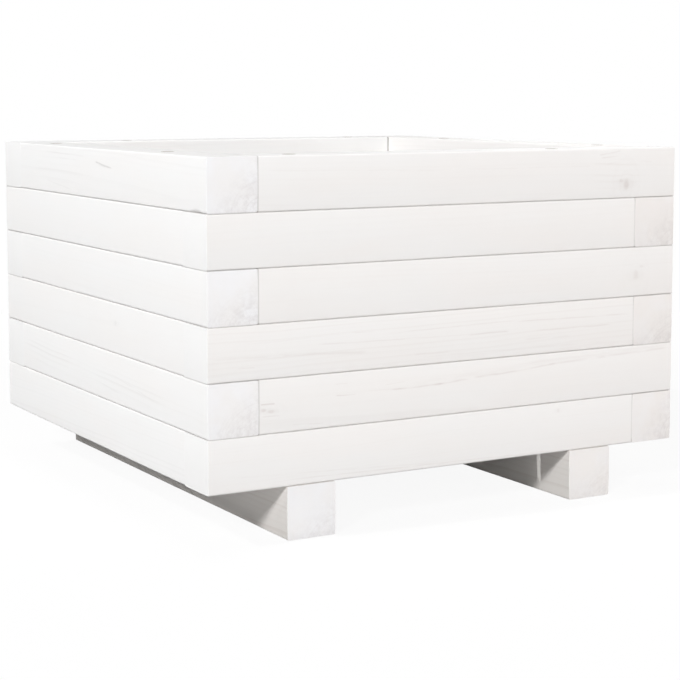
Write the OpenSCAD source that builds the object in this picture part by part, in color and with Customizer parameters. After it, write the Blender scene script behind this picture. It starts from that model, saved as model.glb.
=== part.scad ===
// Square planter built log-cabin fashion from planed softwood battens.
// Each course is four equal battens that follow one another round the box like a pinwheel:
// one end of each laps the corner and shows its end grain, the other butts against its neighbour.
// Every second course is the mirror image of the one above it, so the laps interlock.
// Course 1 is at the rim. Lengths are in millimetres, Z is up, the front looks towards -Y,
// and the origin is at the middle of the footprint, on the floor.

/* [Box] */
// Outside length of each of the four walls
wall_length = 400; // [300:10:800]
// Number of courses stacked above the feet
courses = 6; // [2:1:8]

/* [Battens] */
// Width and height of the square planed batten that the walls and feet are cut from
batten = 38; // [34:1:50]
// Radius of the eased long edges of a batten
batten_ease = 1.5; // [0.5:0.1:3]

/* [Feet] */
// From the outside of the box to the outer side of each foot
foot_inset = 60; // [42:1:100]

/* [Floor] */
// Number of slats in the floor
slat_count = 4; // [2:1:6]
// Thickness of a floor slat
slat_thickness = 12; // [8:1:20]
// Drainage gap between slats, and between the outer slats and the walls
slat_gap = 5; // [4:0.5:10]
// Play between a slat's ends and the walls
slat_end_play = 2; // [1:0.5:5]
// Radius of the eased long edges of a slat
slat_ease = 1; // [0.5:0.1:2]

/* [Wall and foot screws] */
// From a batten's butting end to its nearest screw
butt_end_to_screw = 34; // [24:1:50]
// How far along the wall the screws of neighbouring courses are staggered
screw_stagger = 32; // [20:1:60]
// Diameter of a wall or foot screw
wall_screw_d = 4.5; // [3.5:0.1:5.5]
// Diameter of a wall or foot screw's head
wall_head_d = 8.8; // [8:0.1:11]
// Length of a screw through one course into the next, from the top of its head to its point
course_screw_length = 50; // [42:1:58]
// Length of a screw through a foot into the bottom course, from the top of its head to its point
foot_screw_length = 40; // [36:1:50]
// Depth of the counterbore that a wall or foot screw's head is sunk in
counterbore_depth = 10; // [6:1:16]
// Room round a head in its counterbore
counterbore_play = 0.6; // [0.5:0.1:2]

/* [Floor screws] */
// Diameter of a floor screw
slat_screw_d = 3.5; // [3:0.1:4.5]
// Diameter of a floor screw's head
slat_head_d = 7; // [6:0.1:9]
// Length of a floor screw, from the top of its head to its point
slat_screw_length = 25; // [20:1:35]
// Depth of a floor screw's head below the slat
slat_head_sink = 0.5; // [0.2:0.1:2]
// From a slat's long edge to its screws
slat_edge_to_screw = 18; // [10:1:22]

/* [Screw details] */
// Height of the upright rim round a countersunk head
head_rim = 0.4; // [0.2:0.1:0.8]
// Length of a screw's point
screw_point = 6; // [3:1:8]
// Depth of the cross recess in a screw's head
recess_depth = 1.8; // [1:0.1:2]
// Width of each slot of the cross recess
recess_width = 1.2; // [0.8:0.1:1.5]
// Share of the head's diameter that the cross recess spans
recess_span = 0.55; // [0.4:0.05:0.7]
// Room round a shank in its clearance hole
shank_play = 0.25; // [0.1:0.05:0.5]
// Room round a screw in its pilot hole, and beyond its point
pilot_play = 0.1; // [0.05:0.05:0.3]

/* [Corner dowels] */
// Diameter of the dowels that pin each corner lap
dowel_d = 8; // [6:0.5:10]
// Length of a dowel
dowel_length = 30; // [20:1:32]
// Chamfer on a dowel's ends
dowel_chamfer = 1; // [0.5:0.1:1.5]
// Room round a dowel in its hole
dowel_play = 0.05; // [0.05:0.05:0.2]
// Room beyond each end of a dowel
dowel_end_play = 0.5; // [0.2:0.1:0.8]

/* [Colours] */
// White stain on the front and back battens
batten_colour = "#f3f1ed";
// White stain on the feet
foot_colour = "#e9e6e1";
// White stain on the floor slats
slat_colour = "#efece6";
// Zinc plating on the screws
screw_colour = "#b4b8bc";
// Plain beech of the dowels
dowel_colour = "#d8b98a";

/* [Hidden] */
$fn = 48;
WALLS = ["front", "right", "back", "left"];
FEET = ["left", "right"];

half_wall = wall_length / 2;
// Distance of a wall's centre line from the middle of the box
wall_centre = half_wall - batten / 2;
// Distance of a wall's inner face from the middle of the box
inner_face = half_wall - batten;
// Distance of a foot's centre line from the middle of the box
foot_centre = half_wall - foot_inset - batten / 2;
slat_width = (2 * inner_face - (slat_count + 1) * slat_gap) / slat_count;
slat_length = 2 * (inner_face - slat_end_play);
// Places of the two screws along an odd-numbered course's front batten
screws_along = [butt_end_to_screw - inner_face, inner_face - butt_end_to_screw - screw_stagger];

function batten_name(course, wall) = str("course_", course, "_", WALLS[wall], "_batten");
function course_screws_name(course) = str("course_", course, "_screws");
function corner_dowels_name(course) = str("course_", course, "_corner_dowels");
function foot_name(foot) = str(FEET[foot], "_foot");
function slat_name(slat) = str("floor_slat_", slat);
// Height of the underside of a course
function course_base(course) = batten * (1 + courses - course);
// Height of the counterbore's floor in a course, which is the top of its screws' heads
function course_seat(course) = course_base(course) + batten - counterbore_depth;
// Edge of a slat nearest to the front wall
function slat_start(slat) = slat_gap - inner_face + (slat - 1) * (slat_width + slat_gap);
// Places of a slat's two rows of screws across its width
function slat_screw_rows(slat) =
    [slat_start(slat) + slat_edge_to_screw, slat_start(slat) + slat_width - slat_edge_to_screw];

// Rectangle with rounded corners, one corner of its box at the origin
module eased_rectangle(width, height, ease) {
    translate([ease, 0]) square([width - 2 * ease, height]);
    translate([0, ease]) square([width, height - 2 * ease]);
    for (x = [ease, width - ease], y = [ease, height - ease])
        translate([x, y]) circle(r = ease);
}

// Bar with eased long edges, running along +X from the origin
module eased_bar(length, width, height, ease) {
    rotate([90, 0, 90]) linear_extrude(length) eased_rectangle(width, height, ease);
}

// Countersunk wood screw with the top of its head at the origin, pointing down
module wood_screw(length, shank_d, head_d) {
    shank_r = shank_d / 2;
    head_r = head_d / 2;
    cone_end = head_rim + head_r - shank_r;
    color(screw_colour) difference() {
        rotate_extrude() polygon([
            [0, 0], [head_r, 0], [head_r, -head_rim], [shank_r, -cone_end],
            [shank_r, screw_point - length], [0, -length]
        ]);
        for (turn = [0, 90]) rotate([0, 0, turn])
            translate([-head_d * recess_span / 2, -recess_width / 2, -recess_depth])
                cube([head_d * recess_span, recess_width, 2 * recess_depth]);
    }
}

// What a screw is put through from above: a counterbore, the seat of its head and a clearance hole
module screw_passage(sink, shank_d, head_d, through) {
    hole_r = shank_d / 2 + shank_play;
    seat_r = head_d / 2 + head_rim;
    overcut = 1;
    cylinder(h = sink + overcut, r = head_d / 2 + counterbore_play);
    translate([0, 0, hole_r - seat_r]) cylinder(h = seat_r - hole_r, r1 = hole_r, r2 = seat_r);
    translate([0, 0, -through - overcut]) cylinder(h = through + overcut, r = hole_r);
}

// Hole that a screw's threaded end fills, measured down from the face that it enters
module pilot_hole(depth, shank_d) {
    overcut = 1;
    translate([0, 0, -depth - pilot_play]) cylinder(h = depth + pilot_play + overcut, r = shank_d / 2 + pilot_play);
}

// Puts what is drawn on an odd-numbered course's front wall on any wall of any course
module on_wall(course, wall) {
    rotate([0, 0, 90 * wall]) mirror([course % 2 == 0 ? 1 : 0, 0, 0]) children();
}

// Half of a corner dowel's hole, opening at the origin's level
module dowel_hole() {
    depth = dowel_length / 2 + dowel_end_play;
    overcut = 1;
    translate([0, 0, -overcut]) cylinder(h = depth + overcut, r = dowel_d / 2 + dowel_play);
}

// One batten of a wall: it laps the corner at its +X end before it is turned onto its wall
module wall_batten(course, wall) {
    is_top = course == 1;
    is_bottom = course == courses;
    carries_feet = is_bottom && (wall == 0 || wall == 2);
    screw_reach = course_screw_length + counterbore_depth - batten;
    foot_screw_reach = foot_screw_length + counterbore_depth - batten;
    color(batten_colour) on_wall(course, wall) translate([0, 0, course_base(course)]) difference() {
        translate([-inner_face, -half_wall, 0])
            eased_bar(wall_length - batten, batten, batten, batten_ease);
        if (!is_bottom) for (x = screws_along)
            translate([x, -wall_centre, batten - counterbore_depth])
                screw_passage(counterbore_depth, wall_screw_d, wall_head_d, batten - counterbore_depth);
        if (!is_top) for (x = screws_along)
            translate([-x, -wall_centre, batten]) pilot_hole(screw_reach, wall_screw_d);
        if (!is_bottom) translate([wall_centre, -wall_centre, 0]) dowel_hole();
        if (!is_top) translate([wall_centre, -wall_centre, batten]) mirror([0, 0, 1]) dowel_hole();
        if (carries_feet) for (side = [-1, 1])
            translate([side * foot_centre, -wall_centre, 0])
                mirror([0, 0, 1]) pilot_hole(foot_screw_reach, wall_screw_d);
    }
}

// The screws that hold one course down on the next
module course_screws(course) {
    for (wall = [0 : 3], x = screws_along)
        on_wall(course, wall) translate([x, -wall_centre, course_seat(course)])
            wood_screw(course_screw_length, wall_screw_d, wall_head_d);
}

// The dowels that pin one course's corner laps to those of the next
module corner_dowels(course) {
    dowel_r = dowel_d / 2;
    half_length = dowel_length / 2;
    color(dowel_colour) for (x = [-wall_centre, wall_centre], y = [-wall_centre, wall_centre])
        translate([x, y, course_base(course)]) rotate_extrude() polygon([
            [0, -half_length], [dowel_r - dowel_chamfer, -half_length],
            [dowel_r, dowel_chamfer - half_length], [dowel_r, half_length - dowel_chamfer],
            [dowel_r - dowel_chamfer, half_length], [0, half_length]
        ]);
}

// Side of the box that a foot stands on: -1 for the left and 1 for the right
function foot_side(foot) = 2 * foot - 1;

// One foot: a batten laid flat from front to back under the box
module box_foot(foot) {
    slat_screw_reach = slat_screw_length + slat_head_sink - slat_thickness;
    color(foot_colour) translate([foot_side(foot) * foot_centre, 0, 0]) difference() {
        translate([batten / 2, -half_wall, 0])
            rotate([0, 0, 90]) eased_bar(wall_length, batten, batten, batten_ease);
        for (y = [-wall_centre, wall_centre])
            translate([0, y, counterbore_depth]) mirror([0, 0, 1])
                screw_passage(counterbore_depth, wall_screw_d, wall_head_d, batten - counterbore_depth);
        for (slat = [1 : slat_count], y = slat_screw_rows(slat))
            translate([0, y, batten]) pilot_hole(slat_screw_reach, slat_screw_d);
    }
}

// The screws that hold the feet up against the bottom course
module foot_screws() {
    for (x = [-foot_centre, foot_centre], y = [-wall_centre, wall_centre])
        translate([x, y, counterbore_depth]) mirror([0, 0, 1])
            wood_screw(foot_screw_length, wall_screw_d, wall_head_d);
}

// One slat of the floor, lying across both feet inside the walls
module floor_slat(slat) {
    color(slat_colour) difference() {
        translate([-slat_length / 2, slat_start(slat), batten])
            eased_bar(slat_length, slat_width, slat_thickness, slat_ease);
        for (x = [-foot_centre, foot_centre], y = slat_screw_rows(slat))
            translate([x, y, batten + slat_thickness - slat_head_sink])
                screw_passage(slat_head_sink, slat_screw_d, slat_head_d, slat_thickness - slat_head_sink);
    }
}

// The screws that hold the floor slats down on the feet
module floor_slat_screws() {
    for (slat = [1 : slat_count], x = [-foot_centre, foot_centre], y = slat_screw_rows(slat))
        translate([x, y, batten + slat_thickness - slat_head_sink])
            wood_screw(slat_screw_length, slat_screw_d, slat_head_d);
}

for (course = [1 : courses], wall = [0 : 3])
    wall_batten(course, wall);
for (course = [1 : courses - 1])
    course_screws(course);
for (course = [1 : courses - 1])
    corner_dowels(course);
for (foot = [0 : 1])
    box_foot(foot);
foot_screws();
for (slat = [1 : slat_count])
    floor_slat(slat);
floor_slat_screws();
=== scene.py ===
"""Looks of a square planter of white-stained pine battens, stacked log-cabin fashion on two feet.

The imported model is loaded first, as a fixed frame. Each class below makes one sub-assembly of the
planter and gives it its finish: the walls, the feet, the floor and the fastenings. Lengths are in
metres, Z is up, the front wall looks towards -Y, and the origin is at the middle of the footprint,
on the ground.

A bar's own coordinates run along it from its butting end (x), out of the box (y) and upwards (z),
and start in the middle of its section. The pattern of its wood follows them.
"""

import logging
import math
from collections.abc import Callable, Sequence
from dataclasses import dataclass, replace
from enum import Enum

import bpy
import numpy as np
from mathutils import Matrix, Vector


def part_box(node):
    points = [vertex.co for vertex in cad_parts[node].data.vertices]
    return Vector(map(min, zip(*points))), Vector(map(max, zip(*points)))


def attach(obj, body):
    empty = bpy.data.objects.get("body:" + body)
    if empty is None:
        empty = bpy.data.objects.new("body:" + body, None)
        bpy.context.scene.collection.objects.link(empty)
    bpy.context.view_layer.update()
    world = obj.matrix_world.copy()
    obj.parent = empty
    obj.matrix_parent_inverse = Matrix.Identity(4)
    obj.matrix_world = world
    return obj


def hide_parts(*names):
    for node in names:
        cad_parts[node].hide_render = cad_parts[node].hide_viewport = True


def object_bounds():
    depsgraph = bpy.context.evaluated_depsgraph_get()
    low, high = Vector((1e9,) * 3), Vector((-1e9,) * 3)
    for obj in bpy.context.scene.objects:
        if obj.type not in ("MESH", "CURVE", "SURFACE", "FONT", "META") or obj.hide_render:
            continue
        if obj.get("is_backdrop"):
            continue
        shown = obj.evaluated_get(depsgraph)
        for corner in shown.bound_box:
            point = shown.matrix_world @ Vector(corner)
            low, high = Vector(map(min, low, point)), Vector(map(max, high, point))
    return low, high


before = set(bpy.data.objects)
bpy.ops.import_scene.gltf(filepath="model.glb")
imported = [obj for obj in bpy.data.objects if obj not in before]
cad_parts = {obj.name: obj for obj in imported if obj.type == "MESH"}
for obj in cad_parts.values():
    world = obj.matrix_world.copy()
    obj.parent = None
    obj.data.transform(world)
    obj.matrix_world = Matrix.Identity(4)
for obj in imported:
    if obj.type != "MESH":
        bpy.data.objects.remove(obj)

log = logging.getLogger("planter")

Pair = tuple[float, float]
Triple = tuple[float, float, float]
Colour = Triple

BODY = "root"
MM = 0.001
PLAIN_WHITE = (1.0, 1.0, 1.0)


class Wall(Enum):
    """The four walls, as quarter turns about Z from the front."""

    FRONT = 0
    RIGHT = 1
    BACK = 2
    LEFT = 3

    @property
    def label(self) -> str:
        """The wall's word in the names of its nodes."""
        return self.name.lower()


class Edge(Enum):
    """The four long edges of a bar, by their place in its section's outline."""

    OUTER_TOP = 0
    INNER_TOP = 1
    INNER_BOTTOM = 2
    OUTER_BOTTOM = 3


class Slot(Enum):
    """The record's material slots."""

    WALL_BATTEN = "wall_batten"
    FOOT = "foot"
    FLOOR_SLAT = "floor_slat"
    SCREW = "screw"
    DOWEL = "dowel"


class Value:
    """An output socket of a node, on which arithmetic adds Math nodes to its tree."""

    def __init__(self, kit: "NodeKit", socket: bpy.types.NodeSocket) -> None:
        self.kit = kit
        self.socket = socket

    def beside(self, name: str) -> "Value":
        """Another output of the same node."""
        return Value(self.kit, socket_named(self.socket.node.outputs, name))

    def math(self, operation: str, *others: "Operand") -> "Value":
        """The result of a Math node on this value and up to two others."""
        return self.kit.math(operation, self, *others)

    def rise(self, low: "Operand", high: "Operand") -> "Value":
        """A smooth step from 0 where the value is low to 1 where it is high."""
        sockets = {"Value": self, "From Min": low, "From Max": high}
        return self.kit.add("ShaderNodeMapRange", {"interpolation_type": "SMOOTHSTEP"}, sockets, "Result")

    def __add__(self, other: "Operand") -> "Value":
        """self + other"""
        return self.math("ADD", other)

    def __sub__(self, other: "Operand") -> "Value":
        """self - other"""
        return self.math("SUBTRACT", other)

    def __rsub__(self, other: "Operand") -> "Value":
        """other - self"""
        return self.kit.math("SUBTRACT", other, self)

    def __mul__(self, other: "Operand") -> "Value":
        """self * other"""
        return self.math("MULTIPLY", other)

    def __truediv__(self, other: "Operand") -> "Value":
        """self / other"""
        return self.math("DIVIDE", other)

    def __rtruediv__(self, other: "Operand") -> "Value":
        """other / self"""
        return self.kit.math("DIVIDE", other, self)

    def __pow__(self, other: "Operand") -> "Value":
        """self ** other"""
        return self.math("POWER", other)

    def __rpow__(self, other: "Operand") -> "Value":
        """other ** self"""
        return self.kit.math("POWER", other, self)

    def __neg__(self) -> "Value":
        """-self"""
        return self.math("MULTIPLY", -1.0)

    def __abs__(self) -> "Value":
        """abs(self)"""
        return self.math("ABSOLUTE")

    __radd__ = __add__
    __rmul__ = __mul__


Operand = Value | float


def socket_named(sockets: Sequence[bpy.types.NodeSocket], name: str) -> bpy.types.NodeSocket:
    """Finds a socket by its identifier or, where no identifier fits, by its name.

    Args:
        sockets: A node's inputs or outputs.
        name: The identifier or name to look for.

    Returns:
        The socket that fits.
    """
    return next(
        socket for key in ("identifier", "name") for socket in sockets if getattr(socket, key) == name
    )


@dataclass(frozen=True)
class Pattern:
    """A kind of smooth noise.

    Attributes:
        scales: Bumps per metre along each of the coordinates.
        seed: Moves it, so that no two kinds look alike.
        detail: How many finer layers are added.
    """

    scales: Triple
    seed: float = 0.0
    detail: float = 2.0

    SEED_WAY = (1.0, 1.7, -1.0)


class NodeKit:
    """Adds nodes to one node tree, of a material, a world or Geometry Nodes."""

    def __init__(self, tree: bpy.types.NodeTree) -> None:
        """Empties the tree and takes it over."""
        self.tree = tree
        tree.nodes.clear()

    def add(
        self,
        kind: str,
        settings: dict[str, object] | None = None,
        sockets: dict[str, object] | None = None,
        output: str | None = None,
    ) -> Value:
        """Adds one node.

        Args:
            kind: The node's type.
            settings: Its properties, which are set first. "items" is how many choices it offers.
            sockets: What each input holds: a constant, a Value to link, or a list of Values.
            output: The identifier or name of the output to return, by default the first in use.

        Returns:
            That output, or for a node with no outputs its last input.
        """
        node = self.tree.nodes.new(kind)
        for name, setting in (settings or {}).items():
            if name == "items":
                while len(node.index_switch_items) < setting:
                    node.index_switch_items.new()
            else:
                setattr(node, name, setting)
        for name, given in (sockets or {}).items():
            self._feed(socket_named(node.inputs, name), given)
        if not node.outputs:
            return Value(self, node.inputs[-1])
        enabled = next(socket for socket in node.outputs if socket.enabled)
        return Value(self, socket_named(node.outputs, output) if output else enabled)

    def _feed(self, socket: bpy.types.NodeSocket, given: object) -> None:
        """Links or sets one input.

        Args:
            socket: The input.
            given: A Value, a list of Values for an input that takes several, or a constant.
        """
        if isinstance(given, Value):
            self.tree.links.new(given.socket, socket)
        elif isinstance(given, list):
            for value in given:
                self.tree.links.new(value.socket, socket)
        elif socket.type == "RGBA":
            socket.default_value = (*given, 1.0)
        else:
            socket.default_value = given

    def math(self, operation: str, *operands: Operand) -> Value:
        """The result of a Math node on one to three operands."""
        names = ("Value", "Value_001", "Value_002")
        return self.add("ShaderNodeMath", {"operation": operation}, dict(zip(names, operands)))

    def vector(self, operation: str, *operands: Value | Triple) -> Value:
        """The result of a Vector Math node on one to three vectors."""
        names = ("Vector", "Vector_001", "Vector_002")
        return self.add("ShaderNodeVectorMath", {"operation": operation}, dict(zip(names, operands)))

    def combine(self, x: Operand = 0.0, y: Operand = 0.0, z: Operand = 0.0) -> Value:
        """The vector with these three parts."""
        return self.add("ShaderNodeCombineXYZ", {}, {"X": x, "Y": y, "Z": z})

    def split(self, vector: Value) -> tuple[Value, Value, Value]:
        """The three parts of a vector."""
        first = self.add("ShaderNodeSeparateXYZ", {}, {"Vector": vector}, "X")
        return first, first.beside("Y"), first.beside("Z")

    def blend(self, share: Operand, first: Value | Colour, second: Value | Colour) -> Value:
        """A colour that goes from the first to the second as share goes from 0 to 1."""
        sockets = {"Factor_Float": share, "A_Color": first, "B_Color": second}
        return self.add("ShaderNodeMix", {"data_type": "RGBA"}, sockets, "Result_Color")

    def capped(self, share: Operand) -> Operand:
        """A share that stays at 1 where it would go past it."""
        return self.math("MINIMUM", share, 1.0) if isinstance(share, Value) else min(share, 1.0)

    def attribute(self, name: str, output: str) -> Value:
        """An attribute of the mesh, in a material."""
        return self.add("ShaderNodeAttribute", {"attribute_name": name}, {}, output)

    def bump(self, height: Value) -> Value:
        """The normal of a surface with this relief, in metres."""
        return self.add("ShaderNodeBump", {}, {"Strength": 1.0, "Distance": 1.0, "Height": height})

    def noise(self, place: Value, pattern: Pattern, seed: float = 0.0) -> Value:
        """Smooth noise from 0 to 1 around 0.5.

        Args:
            place: The coordinates to read.
            pattern: The kind of noise.
            seed: Moves it, so that no two pieces look alike.

        Returns:
            The noise.
        """
        step = tuple(way * (seed + pattern.seed) for way in pattern.SEED_WAY)
        moved = self.vector("MULTIPLY_ADD", place, pattern.scales, step)
        sockets = {"Vector": moved, "Scale": 1.0, "Detail": pattern.detail}
        return self.add("ShaderNodeTexNoise", {}, sockets, "Fac")


def oval(along: Value, height: Value, middle: Pair, reach: Pair) -> Value:
    """Square of the distance from the middle of an oval on a bar's side, 1 on its rim.

    Args:
        along: Distance along the bar.
        height: Height above the bar's middle line.
        middle: The oval's middle, along the bar and above its middle line.
        reach: Half of the oval's length and half of its height.

    Returns:
        The square.
    """
    across = (along - middle[0]) / reach[0]
    up = (height - middle[1]) / reach[1]
    return across ** 2 + up ** 2


@dataclass(frozen=True)
class Knot:
    """A knot that shows through the stain on a bar's outer face.

    Attributes:
        along: From the bar's butting end.
        height: Above the bar's middle line.
        radius: Half of its height.
        tone: Share of the bare knot's colour that shows.
        stretch: Its length along the bar over its height.
    """

    along: float
    height: float
    radius: float
    tone: float
    stretch: float = 1.2

    # Where each part of it fades in, counted from its middle in its own sizes, and the part's share
    CORE = (1.25, 0.35)
    CORE_SHARE = 0.75
    CORE_RINGS = 2.0
    RING_DEPTH = 0.3
    FLAME = (1.2, 0.2)
    FLAME_STRETCH = 3
    FLAME_SPREAD = 1.3
    FLAME_SHARE = 0.25
    EDDY_PITCH = 0.4
    EDDY_BAND = (0.4, 0.9)
    EDDY_BAND_END = (1.0, 0.92)
    EDDY_FADE = (8.0, 2.5)
    EDDY_START = (1.5, 2.5)
    EDDY_SHARE = 0.09

    def distance(self, along: Value, height: Value, spread: float, stretch: float = 1.0) -> Value:
        """Distance from its middle, 1 at its rim times spread, with the knot made this much longer."""
        reach = (self.radius * self.stretch * stretch * spread, self.radius * spread)
        return oval(along, height, (self.along, self.height), reach) ** 0.5

    def shown(self, along: Value, height: Value, ragged: Value) -> Value:
        """How much of its colour shows: a ragged core, a halo along the grain and eddies round it.

        Args:
            along: Distance along the bar.
            height: Height above the bar's middle line.
            ragged: Noise that frays its rim.

        Returns:
            The share.
        """
        reach = self.distance(along, height, 1.0) + ragged
        rings = (reach * self.CORE_RINGS).math("FRACT") * self.RING_DEPTH + (1.0 - self.RING_DEPTH)
        core = reach.rise(*self.CORE) * rings * self.CORE_SHARE
        flame = self.distance(along, height, self.FLAME_SPREAD, self.FLAME_STRETCH) + ragged
        turn = (reach * self.EDDY_PITCH).math("FRACT")
        eddy = turn.rise(*self.EDDY_BAND) * turn.rise(*self.EDDY_BAND_END)
        eddy = eddy * reach.rise(*self.EDDY_FADE) * reach.rise(*self.EDDY_START) * self.EDDY_SHARE
        return (core + flame.rise(*self.FLAME) * self.FLAME_SHARE + eddy) * self.tone


@dataclass(frozen=True)
class Streak:
    """A dark or resinous line on a bar's outer face, from one place to another.

    Attributes:
        start: Its first end, along the bar and above its middle line.
        end: Its other end.
        width: Half of its thickness.
        tone: Share of the bare wood's colour that shows.
        sag: How far its middle lies above the straight line between its ends.
    """

    start: Pair
    end: Pair
    width: float
    tone: float
    sag: float = 0.0

    TAPER = 0.12

    def shown(self, along: Value, height: Value, broken: Value) -> Value:
        """How much of its colour shows.

        Args:
            along: Distance along the bar.
            height: Height above the bar's middle line, with the line's wobble.
            broken: Noise that breaks it up.

        Returns:
            The share.
        """
        (start, low), (end, high) = sorted((self.start, self.end))
        share = (along - start) / (end - start)
        arch = share * (1.0 - share) * 4.0
        level = share * (high - low) + low + arch * self.sag
        beside = abs(height - level).rise(self.width, 0.0)
        within = share.rise(0.0, self.TAPER) * share.rise(1.0, 1.0 - self.TAPER)
        return beside * within * broken * self.tone


@dataclass(frozen=True)
class Figure:
    """A stretch of a bar's outer face where the rings show more.

    Attributes:
        place: Its middle, along the bar and above its middle line.
        size: Half of its length and half of its height.
        tone: Share of the bare wood's colour that shows in its rings.
    """

    place: Pair
    size: Pair
    tone: float

    FADE = (1.0, 0.3)

    def shown(self, along: Value, height: Value) -> Value:
        """How much more of the rings shows."""
        return oval(along, height, self.place, self.size).rise(*self.FADE) * self.tone


@dataclass(frozen=True)
class Joints:
    """Where other bars lie against a bar, so that a groove of painted shade runs along its edge.

    Attributes:
        above: How dark the painted shade in the groove under a bar that lies on it is.
        below: How dark the painted shade in the groove over a bar that it lies on is.
        butted: How dark the painted shade in the groove where its butting end stands against a bar is.
        butted_reach: How far from that end it reaches.
        corner: How dark the soft shade in the inner corner by that end is.
    """

    above: float = 0.0
    below: float = 0.0
    butted: float = 0.0
    butted_reach: float = 1.2 * MM
    corner: float = 0.0

    # Reaches of the painted shade in the grooves and in the inner corner
    ABOVE_REACH = (0.5 * MM, 0.1 * MM)
    BELOW_REACH = (0.9 * MM, 0.3 * MM)
    BUTTED_FULL = 0.4 * MM
    CORNER_REACH = 60 * MM

    def shade(self, along: Value, height: Value, half_height: float) -> Operand:
        """How dark the painted shade of the grooves is at a place on the bar.

        Args:
            along: Distance along the bar.
            height: Height above the bar's middle line.
            half_height: Half of the bar's height.

        Returns:
            The share of the painted groove shade's colour.
        """
        grooves = (
            (self.above, height, half_height - self.ABOVE_REACH[0], half_height - self.ABOVE_REACH[1]),
            (self.below, height, self.BELOW_REACH[0] - half_height, self.BELOW_REACH[1] - half_height),
            (self.corner, along, self.CORNER_REACH, 0.0),
            (self.butted, along, self.butted_reach, self.BUTTED_FULL),
        )
        return sum((place.rise(faint, full) * dark for dark, place, faint, full in grooves if dark), 0.0)


@dataclass(frozen=True)
class Timber:
    """How one bar was cut from the log, and what shows on it.

    Attributes:
        seed: Moves its noise, so that no two bars look alike.
        pith: The heart of the log in the bar's section, outwards and upwards from the middle.
        half_height: Half of the bar's height.
        ring: Width of a year's growth.
        contrast: Share of the bare latewood's colour that shows through the stain.
        warmth: Share of the warmer stain.
        end_tone: How dark the mottling on its end grain is.
        knots: Its knots.
        streaks: Its single lines.
        figures: Its figured stretches.
        fall: Painted light and shade: how much paler than at the middle the bar's colour is at the top, and
            darker at the underside.
        joints: Where other bars lie against it.
    """

    seed: float
    pith: Pair
    half_height: float
    ring: float = 2.6 * MM
    contrast: float = 0.05
    warmth: float = 0.5
    end_tone: float = 0.2
    knots: tuple[Knot, ...] = ()
    streaks: tuple[Streak, ...] = ()
    figures: tuple[Figure, ...] = ()
    fall: float = 0.0
    joints: Joints = Joints()


def new_material(name: str) -> tuple[bpy.types.Material, NodeKit]:
    """Makes an empty material.

    Args:
        name: Its name.
    """
    material = bpy.data.materials.new(name)
    material.use_nodes = True
    return material, NodeKit(material.node_tree)


def finish_material(label: str, kit: NodeKit, sockets: dict[str, object]) -> None:
    """Ends a material's tree with a surface shader of this label, whose inputs hold the sockets' values."""
    surface = kit.add("ShaderNodeBsdfPrincipled", {"label": label}, sockets, "BSDF")
    kit.add("ShaderNodeOutputMaterial", {}, {"Surface": surface})


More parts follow.
